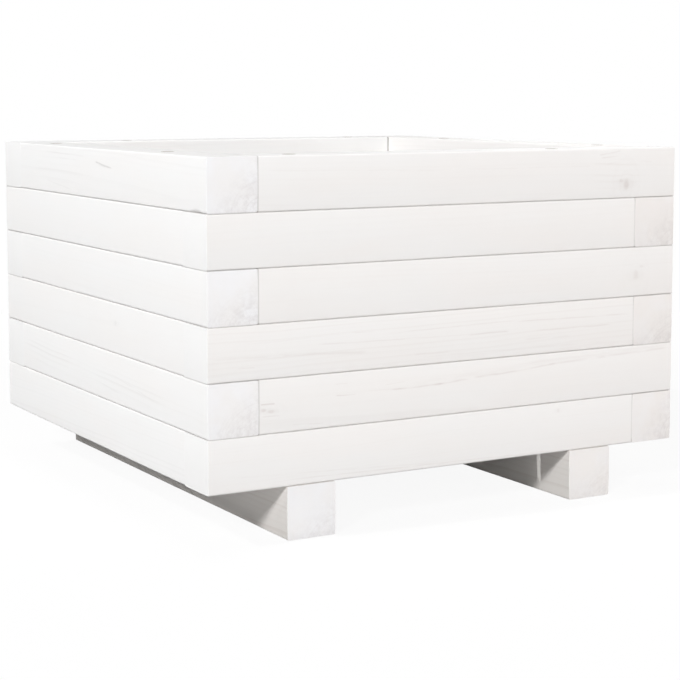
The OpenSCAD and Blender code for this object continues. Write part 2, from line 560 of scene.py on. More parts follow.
@dataclass(frozen=True)
class StainedPine:
    """Planed pine under a thin white stain, through which rings, knots and end grain show faintly.

    Attributes:
        stain: The stain where it lies thickest.
        warm_stain: The stain where the wood's own colour warms it.
        latewood: The bare dark part of a year's ring.
        heart: A bare knot or resin streak.
        end_stain: The stain on end grain, which drinks it.
        warm_end: The same where the wood's own colour warms it.
        end_pores: The bare pores of end grain.
        bare_wood_and_hole_shade: The unstained wood inside a drilled hole, painted darker than bare pine to
            stand for the shade in the hole.
        groove: The colour of the painted shade in the grooves between bars.
        roughness: Of the long grain.
        end_roughness: Of the end grain.
        sheen: Strength of its gloss, where 0.5 is usual.
    """

    stain: Colour = (0.884, 0.881, 0.877)
    warm_stain: Colour = (0.886, 0.870, 0.858)
    latewood: Colour = (0.57, 0.50, 0.47)
    heart: Colour = (0.51, 0.43, 0.41)
    end_stain: Colour = (0.890, 0.890, 0.902)
    warm_end: Colour = (0.886, 0.868, 0.855)
    end_pores: Colour = (0.52, 0.48, 0.48)
    bare_wood_and_hole_shade: Colour = (0.34, 0.28, 0.23)
    groove: Colour = (0.33, 0.31, 0.30)
    roughness: float = 0.62
    end_roughness: float = 0.78
    sheen: float = 0.02

    # Noises, whose bumps per metre go along, out of and up the bar
    FIBRE = Pattern((14.0, 900.0, 900.0), 0.0, 3.0)
    CLOUDS = Pattern((9.0, 40.0, 40.0), 5.0)
    BEND = Pattern((5.0, 12.0, 12.0), 11.0)
    RIPPLE = Pattern((22.0, 30.0, 30.0), 17.0)
    FRAY = Pattern((180.0, 180.0, 180.0), 3.0, 3.0)
    WOBBLE = Pattern((30.0, 8.0, 8.0), 7.0)
    BREAKS = Pattern((60.0, 500.0, 500.0), 9.0)
    BLOTS = Pattern((0.0, 260.0, 260.0), 21.0, 4.0)
    PORES = Pattern((0.0, 1500.0, 1500.0), 23.0)

    # Where in its noise, ring or section each of these fades in
    MARKED_SIDE = (8 * MM, 16 * MM)
    CLOUD_BAND = (0.3, 0.7)
    BREAK_BAND = (0.25, 0.6)
    LATE_START = (0.35, 0.88)
    LATE_END = (1.0, 0.9)
    BLOT_BAND = (0.3, 0.75)
    PORE_BAND = (0.4, 0.7)
    HEARTWARD = (-8 * MM, 22 * MM)

    # Shares of colour
    FIBRE_CONTRAST = 0.06
    CLOUD_WARMTH = 0.6
    STRONGEST_RINGS = 0.85
    BLOT_SHARE = 0.6
    RING_SHARE = 0.3
    PORE_SHARE = 0.25
    FAR_MOTTLE = 0.05
    HOLE_FIBRE = 0.4

    # Shares of roughness, and depths of relief
    CLOUD_ROUGHNESS = 0.12
    FIBRE_ROUGHNESS = 0.1
    FIBRE_RELIEF = 0.03 * MM
    RING_RELIEF = 0.015 * MM
    MOTTLE_RELIEF = 0.08 * MM

    # Sizes of what bends the rings and lines
    KNOT_BEND_REACH = 2.4
    KNOT_BEND = 0.8
    BEND_DEPTH = 5 * MM
    RIPPLE_DEPTH = 0.8 * MM
    LOG_TAPER = 0.012
    WOBBLE_DEPTH = 1.6 * MM

    def material(self, name: str, timber: Timber) -> bpy.types.Material:
        """Makes the material of one bar.

        Args:
            name: The material's name.
            timber: How the bar was cut and what shows on it.

        Returns:
            The material.
        """
        material, kit = new_material(name)
        place = kit.attribute("timber", "Vector")
        end = kit.attribute("end_grain", "Fac")
        bare = kit.attribute("bare", "Fac")
        along, outward, height = kit.split(place)
        fibre = kit.noise(place, self.FIBRE, timber.seed)
        clouds = kit.noise(place, self.CLOUDS, timber.seed)
        rings = self._rings(kit, place, timber)
        mottle = self._mottle(kit, place, timber, rings)
        contrast = sum((figure.shown(along, height) for figure in timber.figures), timber.contrast)
        shows = rings * contrast + (fibre - 0.5) * self.FIBRE_CONTRAST
        warm = clouds.rise(*self.CLOUD_BAND) * self.CLOUD_WARMTH + (timber.warmth - self.CLOUD_WARMTH / 2)
        warm = kit.capped(warm.math("MAXIMUM", 0.0))
        marks = outward.rise(*self.MARKED_SIDE) * self._marks(kit, place, timber)
        colour = kit.blend(shows, kit.blend(warm, self.stain, self.warm_stain), self.latewood)
        colour = kit.blend(kit.capped(marks), colour, self.heart)
        end_colour = kit.blend(mottle, kit.blend(warm, self.end_stain, self.warm_end), self.end_pores)
        colour = kit.blend(end, colour, end_colour)
        # Painted light and shade: the colour is scaled paler towards the bar's top and darker towards its
        # underside
        tone = height * (timber.fall / timber.half_height) + 1.0
        colour = kit.add("ShaderNodeVectorMath", {"operation": "SCALE"}, {"Vector": colour, "Scale": tone})
        # Painted shade: the grooves between bars and the inner corner are darkened towards the groove colour
        shade = timber.joints.shade(along, height, timber.half_height)
        colour = kit.blend(kit.capped(shade), colour, self.groove)
        # Inside holes: the unstained wood, darkened further by painted shade
        opened = bare * (fibre * self.HOLE_FIBRE + (1.0 - self.HOLE_FIBRE))
        colour = kit.blend(opened, colour, self.bare_wood_and_hole_shade)
        rough = (clouds - 0.5) * self.CLOUD_ROUGHNESS + (fibre - 0.5) * self.FIBRE_ROUGHNESS
        rough = rough + self.roughness + end.math("MAXIMUM", bare) * (self.end_roughness - self.roughness)
        relief = fibre * self.FIBRE_RELIEF - rings * self.RING_RELIEF - mottle * end * self.MOTTLE_RELIEF
        finish_material("white stain", kit, {
            "Base Color": colour,
            "Roughness": rough,
            "Normal": kit.bump(relief),
            "Specular IOR Level": self.sheen,
        })
        return material

    def _rings(self, kit: NodeKit, place: Value, timber: Timber) -> Value:
        """The dark bands of the year rings, 1 at the latewood of the strongest ring.

        Args:
            kit: The tree's kit.
            place: The bar's own coordinates.
            timber: How the bar was cut.

        Returns:
            The bands.
        """
        along, outward, height = kit.split(place)
        for knot in timber.knots:
            nearness = knot.distance(along, height, self.KNOT_BEND_REACH).rise(1.0, 0.0)
            height = height - (height - knot.height) * nearness * self.KNOT_BEND
        bend = (kit.noise(place, self.BEND, timber.seed) - 0.5) * self.BEND_DEPTH
        ripple = (kit.noise(place, self.RIPPLE, timber.seed) - 0.5) * self.RIPPLE_DEPTH
        pith_out, pith_up = timber.pith
        from_pith = ((outward - pith_out) ** 2 + (height - pith_up) ** 2) ** 0.5
        years = (from_pith + along * self.LOG_TAPER + bend + ripple) / timber.ring
        season = years.math("FRACT")
        sockets = {"W": years.math("FLOOR") + timber.seed}
        strength = kit.add("ShaderNodeTexWhiteNoise", {"noise_dimensions": "1D"}, sockets)
        strength = strength ** 2.0 * self.STRONGEST_RINGS + (1.0 - self.STRONGEST_RINGS)
        return season.rise(*self.LATE_START) * season.rise(*self.LATE_END) * strength

    def _marks(self, kit: NodeKit, place: Value, timber: Timber) -> Operand:
        """How much of the bar's knots and single lines shows.

        Args:
            kit: The tree's kit.
            place: The bar's own coordinates.
            timber: How the bar was cut.

        Returns:
            The share, which can go past 1.
        """
        along, _, height = kit.split(place)
        ragged = kit.noise(place, self.FRAY, timber.seed) - 0.5
        wavy = (kit.noise(place, self.WOBBLE, timber.seed) - 0.5) * self.WOBBLE_DEPTH + height
        broken = kit.noise(place, self.BREAKS, timber.seed).rise(*self.BREAK_BAND)
        marks = [knot.shown(along, height, ragged) for knot in timber.knots]
        marks += [streak.shown(along, wavy, broken) for streak in timber.streaks]
        return sum(marks, 0.0)

    def _mottle(self, kit: NodeKit, place: Value, timber: Timber, rings: Value) -> Value:
        """How much of the end grain's bare pores shows, more on the heart's side of the section.

        Args:
            kit: The tree's kit.
            place: The bar's own coordinates.
            timber: How the bar was cut.
            rings: The bands of the year rings.

        Returns:
            The share.
        """
        _, outward, height = kit.split(place)
        pith_out, pith_up = timber.pith
        heartward = (outward * pith_out + height * pith_up) / math.hypot(pith_out, pith_up)
        blots = kit.noise(place, self.BLOTS, timber.seed).rise(*self.BLOT_BAND) * self.BLOT_SHARE
        pores = kit.noise(place, self.PORES, timber.seed).rise(*self.PORE_BAND) * self.PORE_SHARE
        side = heartward.rise(*self.HEARTWARD) + self.FAR_MOTTLE
        return (blots + rings * self.RING_SHARE + pores) * side * timber.end_tone


@dataclass(frozen=True)
class CloudedFinish:
    """A plain finish with soft clouds or short flecks of a second colour.

    Attributes:
        label: What it is.
        main: Its colour.
        second: The colour of its clouds.
        pattern: The clouds' noise.
        band: From where to where in that noise they come up.
        roughness: Outside the clouds.
        dulling: How much rougher the clouds are.
        relief: How far the clouds stand out.
        metallic: 1 for metal.
    """

    label: str
    main: Colour
    second: Colour
    pattern: Pattern
    band: Pair
    roughness: float
    dulling: float
    relief: float
    metallic: float = 0.0

    def material(self, name: str) -> bpy.types.Material:
        """Makes the material.

        Args:
            name: Its name.

        Returns:
            The material.
        """
        material, kit = new_material(name)
        place = kit.add("ShaderNodeTexCoord", {}, {}, "Object")
        clouds = kit.noise(place, self.pattern).rise(*self.band)
        finish_material(self.label, kit, {
            "Base Color": kit.blend(clouds, self.main, self.second),
            "Metallic": self.metallic,
            "Roughness": clouds * self.dulling + self.roughness,
            "Normal": kit.bump(clouds * self.relief),
        })
        return material


ZINC_PLATE = CloudedFinish(
    label="zinc",
    main=(0.66, 0.67, 0.69),
    second=(0.50, 0.51, 0.52),
    pattern=Pattern((400.0, 400.0, 400.0), 2.0, 3.0),
    band=(0.35, 0.7),
    roughness=0.3,
    dulling=0.2,
    relief=0.01 * MM,
    metallic=1.0,
)
BEECH = CloudedFinish(
    label="beech",
    main=(0.67, 0.47, 0.29),
    second=(0.42, 0.25, 0.13),
    pattern=Pattern((1400.0, 1400.0, 160.0), 4.0),
    band=(0.58, 0.72),
    roughness=0.6,
    dulling=0.1,
    relief=-0.02 * MM,
)


@dataclass(frozen=True)
class Layout:
    """The planter's main sizes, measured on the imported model.

    Attributes:
        wall_length: Outside length of a wall.
        batten: Width and height of a batten.
        courses: Number of courses.
        foot_centre: From the middle of the box to a foot's middle.
        slat_length: Length of a floor slat.
        slat_width: Width of a floor slat.
        slat_thickness: Its thickness.
        slat_pitch: From one slat to the next.
        first_slat: The middle of the slat nearest to the front.
    """

    wall_length: float
    batten: float
    courses: int
    foot_centre: float
    slat_length: float
    slat_width: float
    slat_thickness: float
    slat_pitch: float
    first_slat: float

    @classmethod
    def measured(cls) -> "Layout":
        """Measures the nodes' boxes.

        Returns:
            The sizes.
        """
        low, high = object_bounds()
        foot_low, foot_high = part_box("right_foot")
        slat_low, slat_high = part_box("floor_slat_1")
        next_low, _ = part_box("floor_slat_2")
        batten = foot_high.z - foot_low.z
        return cls(
            wall_length=high.x - low.x,
            batten=batten,
            courses=round((high.z - foot_high.z) / batten),
            foot_centre=(foot_low.x + foot_high.x) / 2,
            slat_length=slat_high.x - slat_low.x,
            slat_width=slat_high.y - slat_low.y,
            slat_thickness=slat_high.z - slat_low.z,
            slat_pitch=next_low.y - slat_low.y,
            first_slat=(slat_low.y + slat_high.y) / 2,
        )

    @property
    def batten_length(self) -> float:
        """Length of a wall batten."""
        return self.wall_length - self.batten

    @property
    def inner_face(self) -> float:
        """From the middle of the box to a wall's inner face."""
        return self.wall_length / 2 - self.batten

    @property
    def wall_centre(self) -> float:
        """From the middle of the box to a wall's middle."""
        return (self.wall_length - self.batten) / 2

    def course_base(self, course: int) -> float:
        """Height of a course's underside."""
        return self.batten * (1 + self.courses - course)


@dataclass(frozen=True)
class ScrewSize:
    """Sizes of a countersunk wood screw and of what it is put through.

    Attributes:
        length: From the top of its head to its point.
        shank: Its outer diameter.
        head: Its head's diameter.
        sink: How deep its head lies below the face.
        pitch: From one turn of its thread to the next.
        point: Length of its point.
        head_rim: Height of the upright rim round the head.
        head_play: Room round the head.
        shank_play: Room round the shank.
        pilot_play: Room round it in its pilot hole.
    """

    length: float
    shank: float
    head: float
    sink: float
    pitch: float = 2 * MM
    point: float = 6 * MM
    head_rim: float = 0.4 * MM
    head_play: float = 0.6 * MM
    shank_play: float = 0.25 * MM
    pilot_play: float = 0.1 * MM

    def pilot(self, thickness: float) -> tuple[Pair, ...]:
        """The steps of its pilot hole, in the bar beyond one of this thickness."""
        radius = self.shank / 2 + self.pilot_play
        return Drilling.blind(radius, self.length + self.sink - thickness + self.pilot_play)

    def passage(self, thickness: float) -> tuple[Pair, ...]:
        """The steps of its counterbore, seat and clearance hole.

        Args:
            thickness: Of the bar that it goes through.

        Returns:
            The steps.
        """
        hole = self.shank / 2 + self.shank_play
        seat = self.head / 2 + self.head_rim
        wide = self.head / 2 + self.head_play
        sink, over = self.sink, Drilling.OVERCUT
        cone_end = sink + seat - hole
        return (wide, -over), (wide, sink), (seat, sink), (hole, cone_end), (hole, thickness + over)


COURSE_SCREW = ScrewSize(length=50 * MM, shank=4.5 * MM, head=8.8 * MM, sink=10 * MM)
FOOT_SCREW = replace(COURSE_SCREW, length=40 * MM)
SLAT_SCREW = ScrewSize(length=25 * MM, shank=3.5 * MM, head=7 * MM, sink=0.5 * MM, pitch=1.6 * MM)


@dataclass(frozen=True)
class DowelSize:
    """Sizes of a fluted dowel and its hole.

    Attributes:
        diameter: Its diameter.
        length: Its length.
        chamfer: The chamfer on its ends.
        play: Room round it in its hole.
        end_play: Room beyond its end.
    """

    diameter: float = 8 * MM
    length: float = 30 * MM
    chamfer: float = 1 * MM
    play: float = 0.05 * MM
    end_play: float = 0.5 * MM

    def socket(self) -> tuple[Pair, ...]:
        """The steps of the blind hole for one half of it."""
        return Drilling.blind(self.diameter / 2 + self.play, self.length / 2 + self.end_play)


CORNER_DOWEL = DowelSize()


@dataclass(frozen=True)
class Drilling:
    """A round hole in a bar, drilled straight down or up.

    Attributes:
        along: Its axis along the bar.
        face: Height of the face that it is drilled from.
        steps: Its radius at depths in from that face, in order.
        across: Its axis across the bar.
        down: 1 if it is drilled downwards, -1 if upwards.
    """

    along: float
    face: float
    steps: tuple[Pair, ...]
    across: float = 0.0
    down: int = 1

    OVERCUT = 1 * MM
    SIDES = 32

    @staticmethod
    def blind(radius: float, depth: float) -> tuple[Pair, ...]:
        """The steps of a plain hole with a flat bottom."""
        return (radius, -Drilling.OVERCUT), (radius, depth)

    @property
    def reach(self) -> float:
        """Its widest radius."""
        return max(radius for radius, _ in self.steps)

    def solid(self) -> tuple[np.ndarray, list[list[int]]]:
        """The closed solid that the hole takes away.

        Returns:
            Its vertices in the bar's own coordinates, and its faces.
        """
        turns = np.linspace(0, math.tau, self.SIDES, endpoint=False)
        ring = np.stack([np.cos(turns), np.sin(turns)], axis=1)
        rings = [
            np.column_stack([ring * radius, np.full(self.SIDES, self.face - self.down * depth)])
            for radius, depth in self.steps
        ]
        vertices = np.concatenate(rings) + (self.along, self.across, 0.0)
        last = (len(rings) - 1) * self.SIDES
        faces = band_faces(len(rings), self.SIDES)
        faces += [list(range(self.SIDES))[::-1], [last + side for side in range(self.SIDES)]]
        return vertices, [face[::-1] for face in faces] if self.down > 0 else faces


def band_faces(rings: int, points: int) -> list[list[int]]:
    """Four-sided faces between closed rings of points, one ring after another.

    Args:
        rings: How many rings there are.
        points: How many points each has.

    Returns:
        The faces, which look outwards where the rings turn about the way that they follow.
    """
    return [
        [ring * points + point, ring * points + (point + 1) % points,
         (ring + 1) * points + (point + 1) % points, (ring + 1) * points + point]
        for ring in range(rings - 1) for point in range(points)
    ]


def mesh_from(name: str, vertices: np.ndarray, faces: list[list[int]]) -> bpy.types.Mesh:
    """Makes a mesh.

    Args:
        name: Its name.
        vertices: The places of its vertices.
        faces: The numbers of each face's vertices.

    Returns:
        The mesh.
    """
    mesh = bpy.data.meshes.new(name)
    mesh.from_pydata(vertices.tolist(), [], faces)
    mesh.update()
    return mesh


def in_scene(name: str, data: bpy.types.ID) -> bpy.types.Object:
    """Adds an object to the scene.

    Args:
        name: Its name.
        data: The mesh, lamp or camera that it carries.

    Returns:
        The object.
    """
    thing = bpy.data.objects.new(name, data)
    bpy.context.scene.collection.objects.link(thing)
    return thing


def evaluated(mesh: bpy.types.Mesh, dress: Callable[[bpy.types.Object], None]) -> bpy.types.Mesh:
    """Runs modifiers on a mesh and returns the result as a plain mesh.

    Args:
        mesh: The mesh to start from, which is deleted.
        dress: Adds the modifiers to a bench object that carries the mesh.

    Returns:
        The new mesh.
    """
    name = mesh.name
    bench = in_scene(f"{name}_bench", mesh)
    dress(bench)
    graph = bpy.context.evaluated_depsgraph_get()
    dressed = bench.evaluated_get(graph)
    result = bpy.data.meshes.new_from_object(dressed, preserve_all_data_layers=True, depsgraph=graph)
    bpy.data.objects.remove(bench)
    bpy.data.meshes.remove(mesh)
    result.name = name
    return result


def bored(mesh: bpy.types.Mesh, drillings: Sequence[Drilling]) -> bpy.types.Mesh:
    """Takes drilled holes out of a closed mesh.

    Args:
        mesh: The mesh, which is deleted.
        drillings: The holes.

    Returns:
        The bored mesh.
    """
    vertices, faces, start = [], [], 0
    for drilling in drillings:
        corners, group = drilling.solid()
        vertices.append(corners)
        faces += [[start + corner for corner in face] for face in group]
        start += len(corners)
    cutter_mesh = mesh_from("cutter", np.concatenate(vertices), faces)
    cutter = in_scene("cutter", cutter_mesh)

    def cut(bench: bpy.types.Object) -> None:
        """Adds the modifier that takes the cutter out.

        Args:
            bench: The object that carries the mesh.
        """
        modifier = bench.modifiers.new("holes", "BOOLEAN")
        modifier.operation = "DIFFERENCE"
        modifier.solver = "EXACT"
        modifier.object = cutter

    result = evaluated(mesh, cut)
    bpy.data.objects.remove(cutter)
    bpy.data.meshes.remove(cutter_mesh)
    return result


@dataclass(frozen=True)
class Ding:
    """A bruise or chip in a long edge.

    Attributes:
        edge: The edge.
        along: Its middle, along the bar.
        depth: How much it adds to the edge's radius.
        length: Half of its length.
    """

    edge: Edge
    along: float
    depth: float
    length: float


@dataclass(frozen=True)
class PlanedBar:
    """A straight planed bar with eased long edges that wander a little, as a planer leaves them.

    Attributes:
        length: Its length.
        width: From its inner to its outer face.
        height: From its underside to its top.
        ease: Radius of its two upper edges.
        under_ease: Radius of its two lower edges.
        crown: How far its inner and outer faces fall from their middle to their edges.
        seed: Of the wandering.
        drillings: Its holes.
        dings: Its bruises.
    """

    length: float
    width: float
    height: float
    ease: float
    under_ease: float
    crown: float = 0.0
    seed: int = 0
    drillings: tuple[Drilling, ...] = ()
    dings: tuple[Ding, ...] = ()

    # The bevel round its ends, the gap between stations, and how near to a hole or face counts as on it
    ARRIS = 0.1 * MM
    STATION_GAP = 6 * MM
    SKIN = 0.1 * MM
    ARC_STEPS = 4
    FACE_SHARES = (0.012, 0.1, 0.25, 0.42, 0.58, 0.75, 0.9, 0.988)
    EDGE_SIGNS = ((1, 1), (-1, 1), (-1, -1), (1, -1))
    # The wandering of an edge: wave lengths, and shares of the edge's radius
    WAVES = ((0.21, 0.05), (0.087, 0.03), (0.031, 0.03))
    # Lengthwise parts of a face's normal at which it starts to cross the grain, and at which it fully does
    CROSSING = (0.5, 0.9)

    def mesh(self, name: str) -> bpy.types.Mesh:
        """Builds the bar in its own coordinates, bored, with its timber coordinates stored.

        Args:
            name: The mesh's name.

        Returns:
            The mesh.
        """
        along = np.linspace(self.ARRIS, self.length - self.ARRIS, round(self.length / self.STATION_GAP))
        along = np.concatenate([[0.0], along, [self.length]])
        loops = self._section(self._radii(along))
        loops[[0, -1]] *= 1 - 2 * self.ARRIS / np.array([self.width, self.height])
        rings, points, _ = loops.shape
        stations = np.broadcast_to(along[:, None, None], (rings, points, 1))
        vertices = np.concatenate([stations, loops], axis=2).reshape(-1, 3)
        vertices = np.concatenate([vertices, [[0, 0, 0], [self.length, 0, 0]]])
        faces = band_faces(rings, points)
        near, last = rings * points, (rings - 1) * points
        for point in range(points):
            following = (point + 1) % points
            faces += [[near, following, point], [near + 1, last + point, last + following]]
        mesh = mesh_from(name, vertices, faces)
        if self.drillings:
            mesh = bored(mesh, self.drillings)
        self._store_timber(mesh)
        return mesh

    def _store_timber(self, mesh: bpy.types.Mesh) -> None:
        """Stores the bar's own coordinates on its points, and on its faces what they cut through.

        The faces' end_grain is 1 where they cross the grain, and their bare is 1 inside a hole.

        Args:
            mesh: The bar's mesh, in its own coordinates.
        """
        places = np.empty(len(mesh.vertices) * 3, np.float32)
        mesh.vertices.foreach_get("co", places)
        mesh.attributes.new("timber", "FLOAT_VECTOR", "POINT").data.foreach_set("vector", places)
        normals, middles = (np.empty(len(mesh.polygons) * 3, np.float32) for _ in range(2))
        mesh.polygons.foreach_get("normal", normals)
        mesh.polygons.foreach_get("center", middles)
        along, outward, height = middles.reshape(-1, 3).T
        inside = np.zeros(len(along), bool)
        for hole in self.drillings:
            inside |= np.hypot(along - hole.along, outward - hole.across) < hole.reach + self.SKIN
        inside &= np.abs(height) < self.height / 2 - self.SKIN
        crossing = np.where(inside, 0, np.interp(np.abs(normals[::3]), self.CROSSING, (0, 1)))
        for label, shares in (("end_grain", crossing), ("bare", inside)):
            mesh.attributes.new(label, "FLOAT", "FACE").data.foreach_set("value", shares.astype(np.float32))

    def _radii(self, along: np.ndarray) -> np.ndarray:
        """Radius of each long edge at each station.

        Args:
            along: The stations.

        Returns:
            One row for each station and one column for each edge.
        """
        rng = np.random.default_rng(self.seed)
        usual = np.array([self.ease, self.ease, self.under_ease, self.under_ease])
        radii = np.tile(usual, (len(along), 1))
        for wave, share in self.WAVES:
            phases = rng.uniform(0, math.tau, len(Edge))
            radii += usual * share * np.sin(math.tau * along[:, None] / wave + phases)
        for ding in self.dings:
            nearness = np.clip(1 - np.abs(along - ding.along) / ding.length, 0, 1)
            radii[:, ding.edge.value] += ding.depth * np.sqrt(nearness)
        return radii

    def _section(self, radii: np.ndarray) -> np.ndarray:
        """Outline of the bar's section at each station, turning from its outer side to its top.

        Args:
            radii: The radius of each edge, one row for each station.

        Returns:
            An array of stations by points by two: outwards and upwards from the middle.
        """
        half = np.array([self.width, self.height]) / 2
        quarter = np.linspace(0, math.pi / 2, self.ARC_STEPS + 1)
        arcs = []
        for edge, signs in enumerate(self.EDGE_SIGNS):
            radius = radii[:, edge, None, None]
            turn = quarter + edge * math.pi / 2
            around = np.stack([np.cos(turn), np.sin(turn)], axis=1)
            arcs.append(np.array(signs) * (half - radius) + radius * around)
        shares = np.array(self.FACE_SHARES)[None, :, None]
        pieces = []
        for arc, following in zip(arcs, arcs[1:] + arcs[:1]):
            pieces += [arc, arc[:, -1:] + shares * (following[:, :1] - arc[:, -1:])]
        loops = np.concatenate(pieces, axis=1)
        loops[..., 0] *= 1 - self.crown / half[0] * (loops[..., 1] / half[1]) ** 2
        return loops


SHARP_EDGE = math.radians(30)


def put_in_place(mesh: bpy.types.Mesh, matrix: Matrix) -> None:
    """Moves a mesh from its own coordinates to the planter's, with its faces outwards."""
    mesh.transform(matrix)
    if matrix.determinant() < 0:
        mesh.flip_normals()


def add_piece(name: str, mesh: bpy.types.Mesh, slot: Slot, *nodes: str) -> None:
    """Adds a finished mesh to the planter in place of the nodes that it stands for.

    Args:
        name: The piece's name.
        mesh: Its mesh, in place, with its material.
        slot: The slot of its finish; not used.
        nodes: The nodes that it replaces.
    """
    mesh.shade_smooth()
    mesh.set_sharp_from_angle(angle=SHARP_EDGE)
    piece = in_scene(name, mesh)
    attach(piece, BODY)
    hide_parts(*nodes)
    log.info("%s: %d faces", name, len(mesh.polygons))


def seen_timber(course: int, wall: Wall) -> dict[str, object]:
    """What the photograph shows on one batten, in its own coordinates in millimetres.

    Args:
        course: The batten's course, 1 at the rim.
        wall: Its wall.

    Returns:
        The fields of its Timber that differ from the usual.
    """
    def in_metres(pair: Pair) -> Pair:
        """Two millimetre lengths in metres."""
        return pair[0] * MM, pair[1] * MM

    def knot(along: float, height: float, radius: float, tone: float, stretch: float = 1.2) -> Knot:
        """A knot, in millimetres."""
        return Knot(along * MM, height * MM, radius * MM, tone, stretch)

    def streak(start: Pair, end: Pair, width: float, tone: float, sag: float = 0.0) -> Streak:
        """A line, in millimetres."""
        return Streak(in_metres(start), in_metres(end), width * MM, tone, sag * MM)

    def figure(place: Pair, size: Pair, tone: float) -> Figure:
        """A figured stretch, in millimetres."""
        return Figure(in_metres(place), in_metres(size), tone)

    seen = {
        (1, Wall.FRONT): {
            "knots": (knot(315, -8.5, 4.4, 0.36, 0.62), knot(310, -5.5, 1.1, 0.2, 1.8)),
            "streaks": (
                streak((2, 9), (160, 6), 0.8, 0.06), streak((160, 6), (290, 6), 0.9, 0.06),
                streak((288, 14), (310, 17), 0.9, 0.17), streak((290, 12), (311, 13.5), 0.8, 0.15),
                streak((296, 7), (306, 9), 1.2, 0.08), streak((325, 9), (340, 8), 1.0, 0.07),
            ),
            "figures": (figure((305, 0), (26, 22), 0.12),),
        },
        (2, Wall.FRONT): {"contrast": 0.02},
        (3, Wall.FRONT): {
            "contrast": 0.03,
            "knots": (knot(325.5, -2.5, 4.2, 0.2, 0.66), knot(331, 4, 1.2, 0.14, 1.6)),
        },
        (4, Wall.FRONT): {
            "contrast": 0.1,
            "warmth": 0.75,
            "ring": 2.1 * MM,
            "streaks": (
                streak((280, 2), (190, 1), 0.9, 0.15), streak((200, 1), (150, 0.5), 0.9, 0.08),
                streak((154, 0), (116, 0.5), 1.0, 0.22), streak((361, -2), (300, -4), 1.8, 0.1),
                streak((312, -3), (236, -6), 1.8, 0.13), streak((252, 9), (214, 7), 0.8, 0.1),
                streak((226, 6), (107, 8), 0.8, 0.13), streak((114, 7), (2, 6), 0.9, 0.16),
                streak((94, -1), (20, -1), 1.0, 0.17), streak((104, -7), (60, -7), 1.2, 0.08),
                streak((200, -11), (168, -11), 1.0, 0.1), streak((340, 6), (250, 8), 0.7, 0.06),
                streak((340, -10), (326, -10), 0.8, 0.12), streak((200, -13), (20, -14), 1.4, 0.06),
            ),
        },
        (5, Wall.FRONT): {
            "knots": (knot(4, -2, 1.4, 0.3, 1.6), knot(9.5, -3.5, 1.3, 0.28, 2.0)),
            "streaks": (
                streak((86, 5), (116, 3.5), 0.8, 0.07), streak((100, 7.5), (118, 8.5), 0.6, 0.09),
                streak((104, 3.5), (152, 4.5), 1.0, 0.22, -0.3), streak((140, 4), (200, 7.5), 1.2, 0.22),
                streak((190, 6.5), (252, 11), 1.1, 0.2), streak((242, 10.5), (300, 13), 1.3, 0.17),
                streak((288, 12.5), (361, 15), 1.3, 0.16), streak((120, 6), (250, 13), 3.4, 0.05),
                streak((220, 13), (361, 17), 2.6, 0.08), streak((60, 3), (77, 2.5), 0.8, 0.24),
                streak((60, 11), (70, 11), 0.7, 0.12), streak((1, 2), (13, 1.5), 0.9, 0.3),
                streak((2, -6.5), (17, -7), 0.7, 0.16), streak((25, -14), (52, -15.5), 0.7, 0.1),
            ),
        },
        (6, Wall.FRONT): {
            "contrast": 0.03,
            "knots": (knot(71, 13, 2.0, 0.14, 0.6),),
            "streaks": (
                streak((352, -8), (177, -15), 0.9, 0.07), streak((316, -14), (60, -17.5), 0.8, 0.13),
            ),
        },
        (1, Wall.LEFT): {
            "streaks": (
                streak((56, 14), (150, 12), 0.8, 0.12), streak((70, 10), (130, 9), 0.7, 0.1),
                streak((61, -9), (117, -15), 0.9, 0.08), streak((166, 9), (202, 4.8), 1.1, 0.42),
                streak((172, 7.2), (188, 5.6), 0.8, 0.12),
            ),
            "figures": (figure((90, 2), (60, 16), 0.09),),
        },
        (2, Wall.LEFT): {"contrast": 0.02},
        (3, Wall.LEFT): {"contrast": 0.02},
        (4, Wall.LEFT): {"contrast": 0.025, "knots": (knot(121, 4, 2.2, 0.12),)},
        (5, Wall.LEFT): {
            "figures": (figure((60, 1), (60, 15), 0.1), figure((225, -3), (75, 13), 0.09)),
            "streaks": (streak((159, -6), (228, -12), 0.8, 0.08), streak((189, 3), (282, -7), 0.8, 0.08)),
        },
    }
    return seen.get((course, wall), {})


@dataclass(frozen=True)
class WallLook:
    """How the battens of one wall look in the photograph or, where it doesn't show them, may look.

    Attributes:
        pine: Their finish.
        warmth: Share of the warmer stain.
        end_tone: Strength of the mottling on their end grain.
        butted: How dark the painted shade in the groove at their butting end is, in even and in odd courses.
        butted_reach: How far from that end it reaches.
        corner: How dark the soft shade in the inner corner is.
        fall: Painted light and shade: how much paler than at their middle they are at the top, and darker at
            the underside.
        pith_side: 1 where the heart of the log lies outwards, -1 where it lies inwards.
        chance_knots: Whether they have knots where chance puts them.
    """

    pine: StainedPine
    warmth: float
    end_tone: float
    butted: Pair
    butted_reach: float = 1.2 * MM
    corner: float = 0.0
    fall: float = 0.034
    pith_side: int = -1
    chance_knots: bool = False


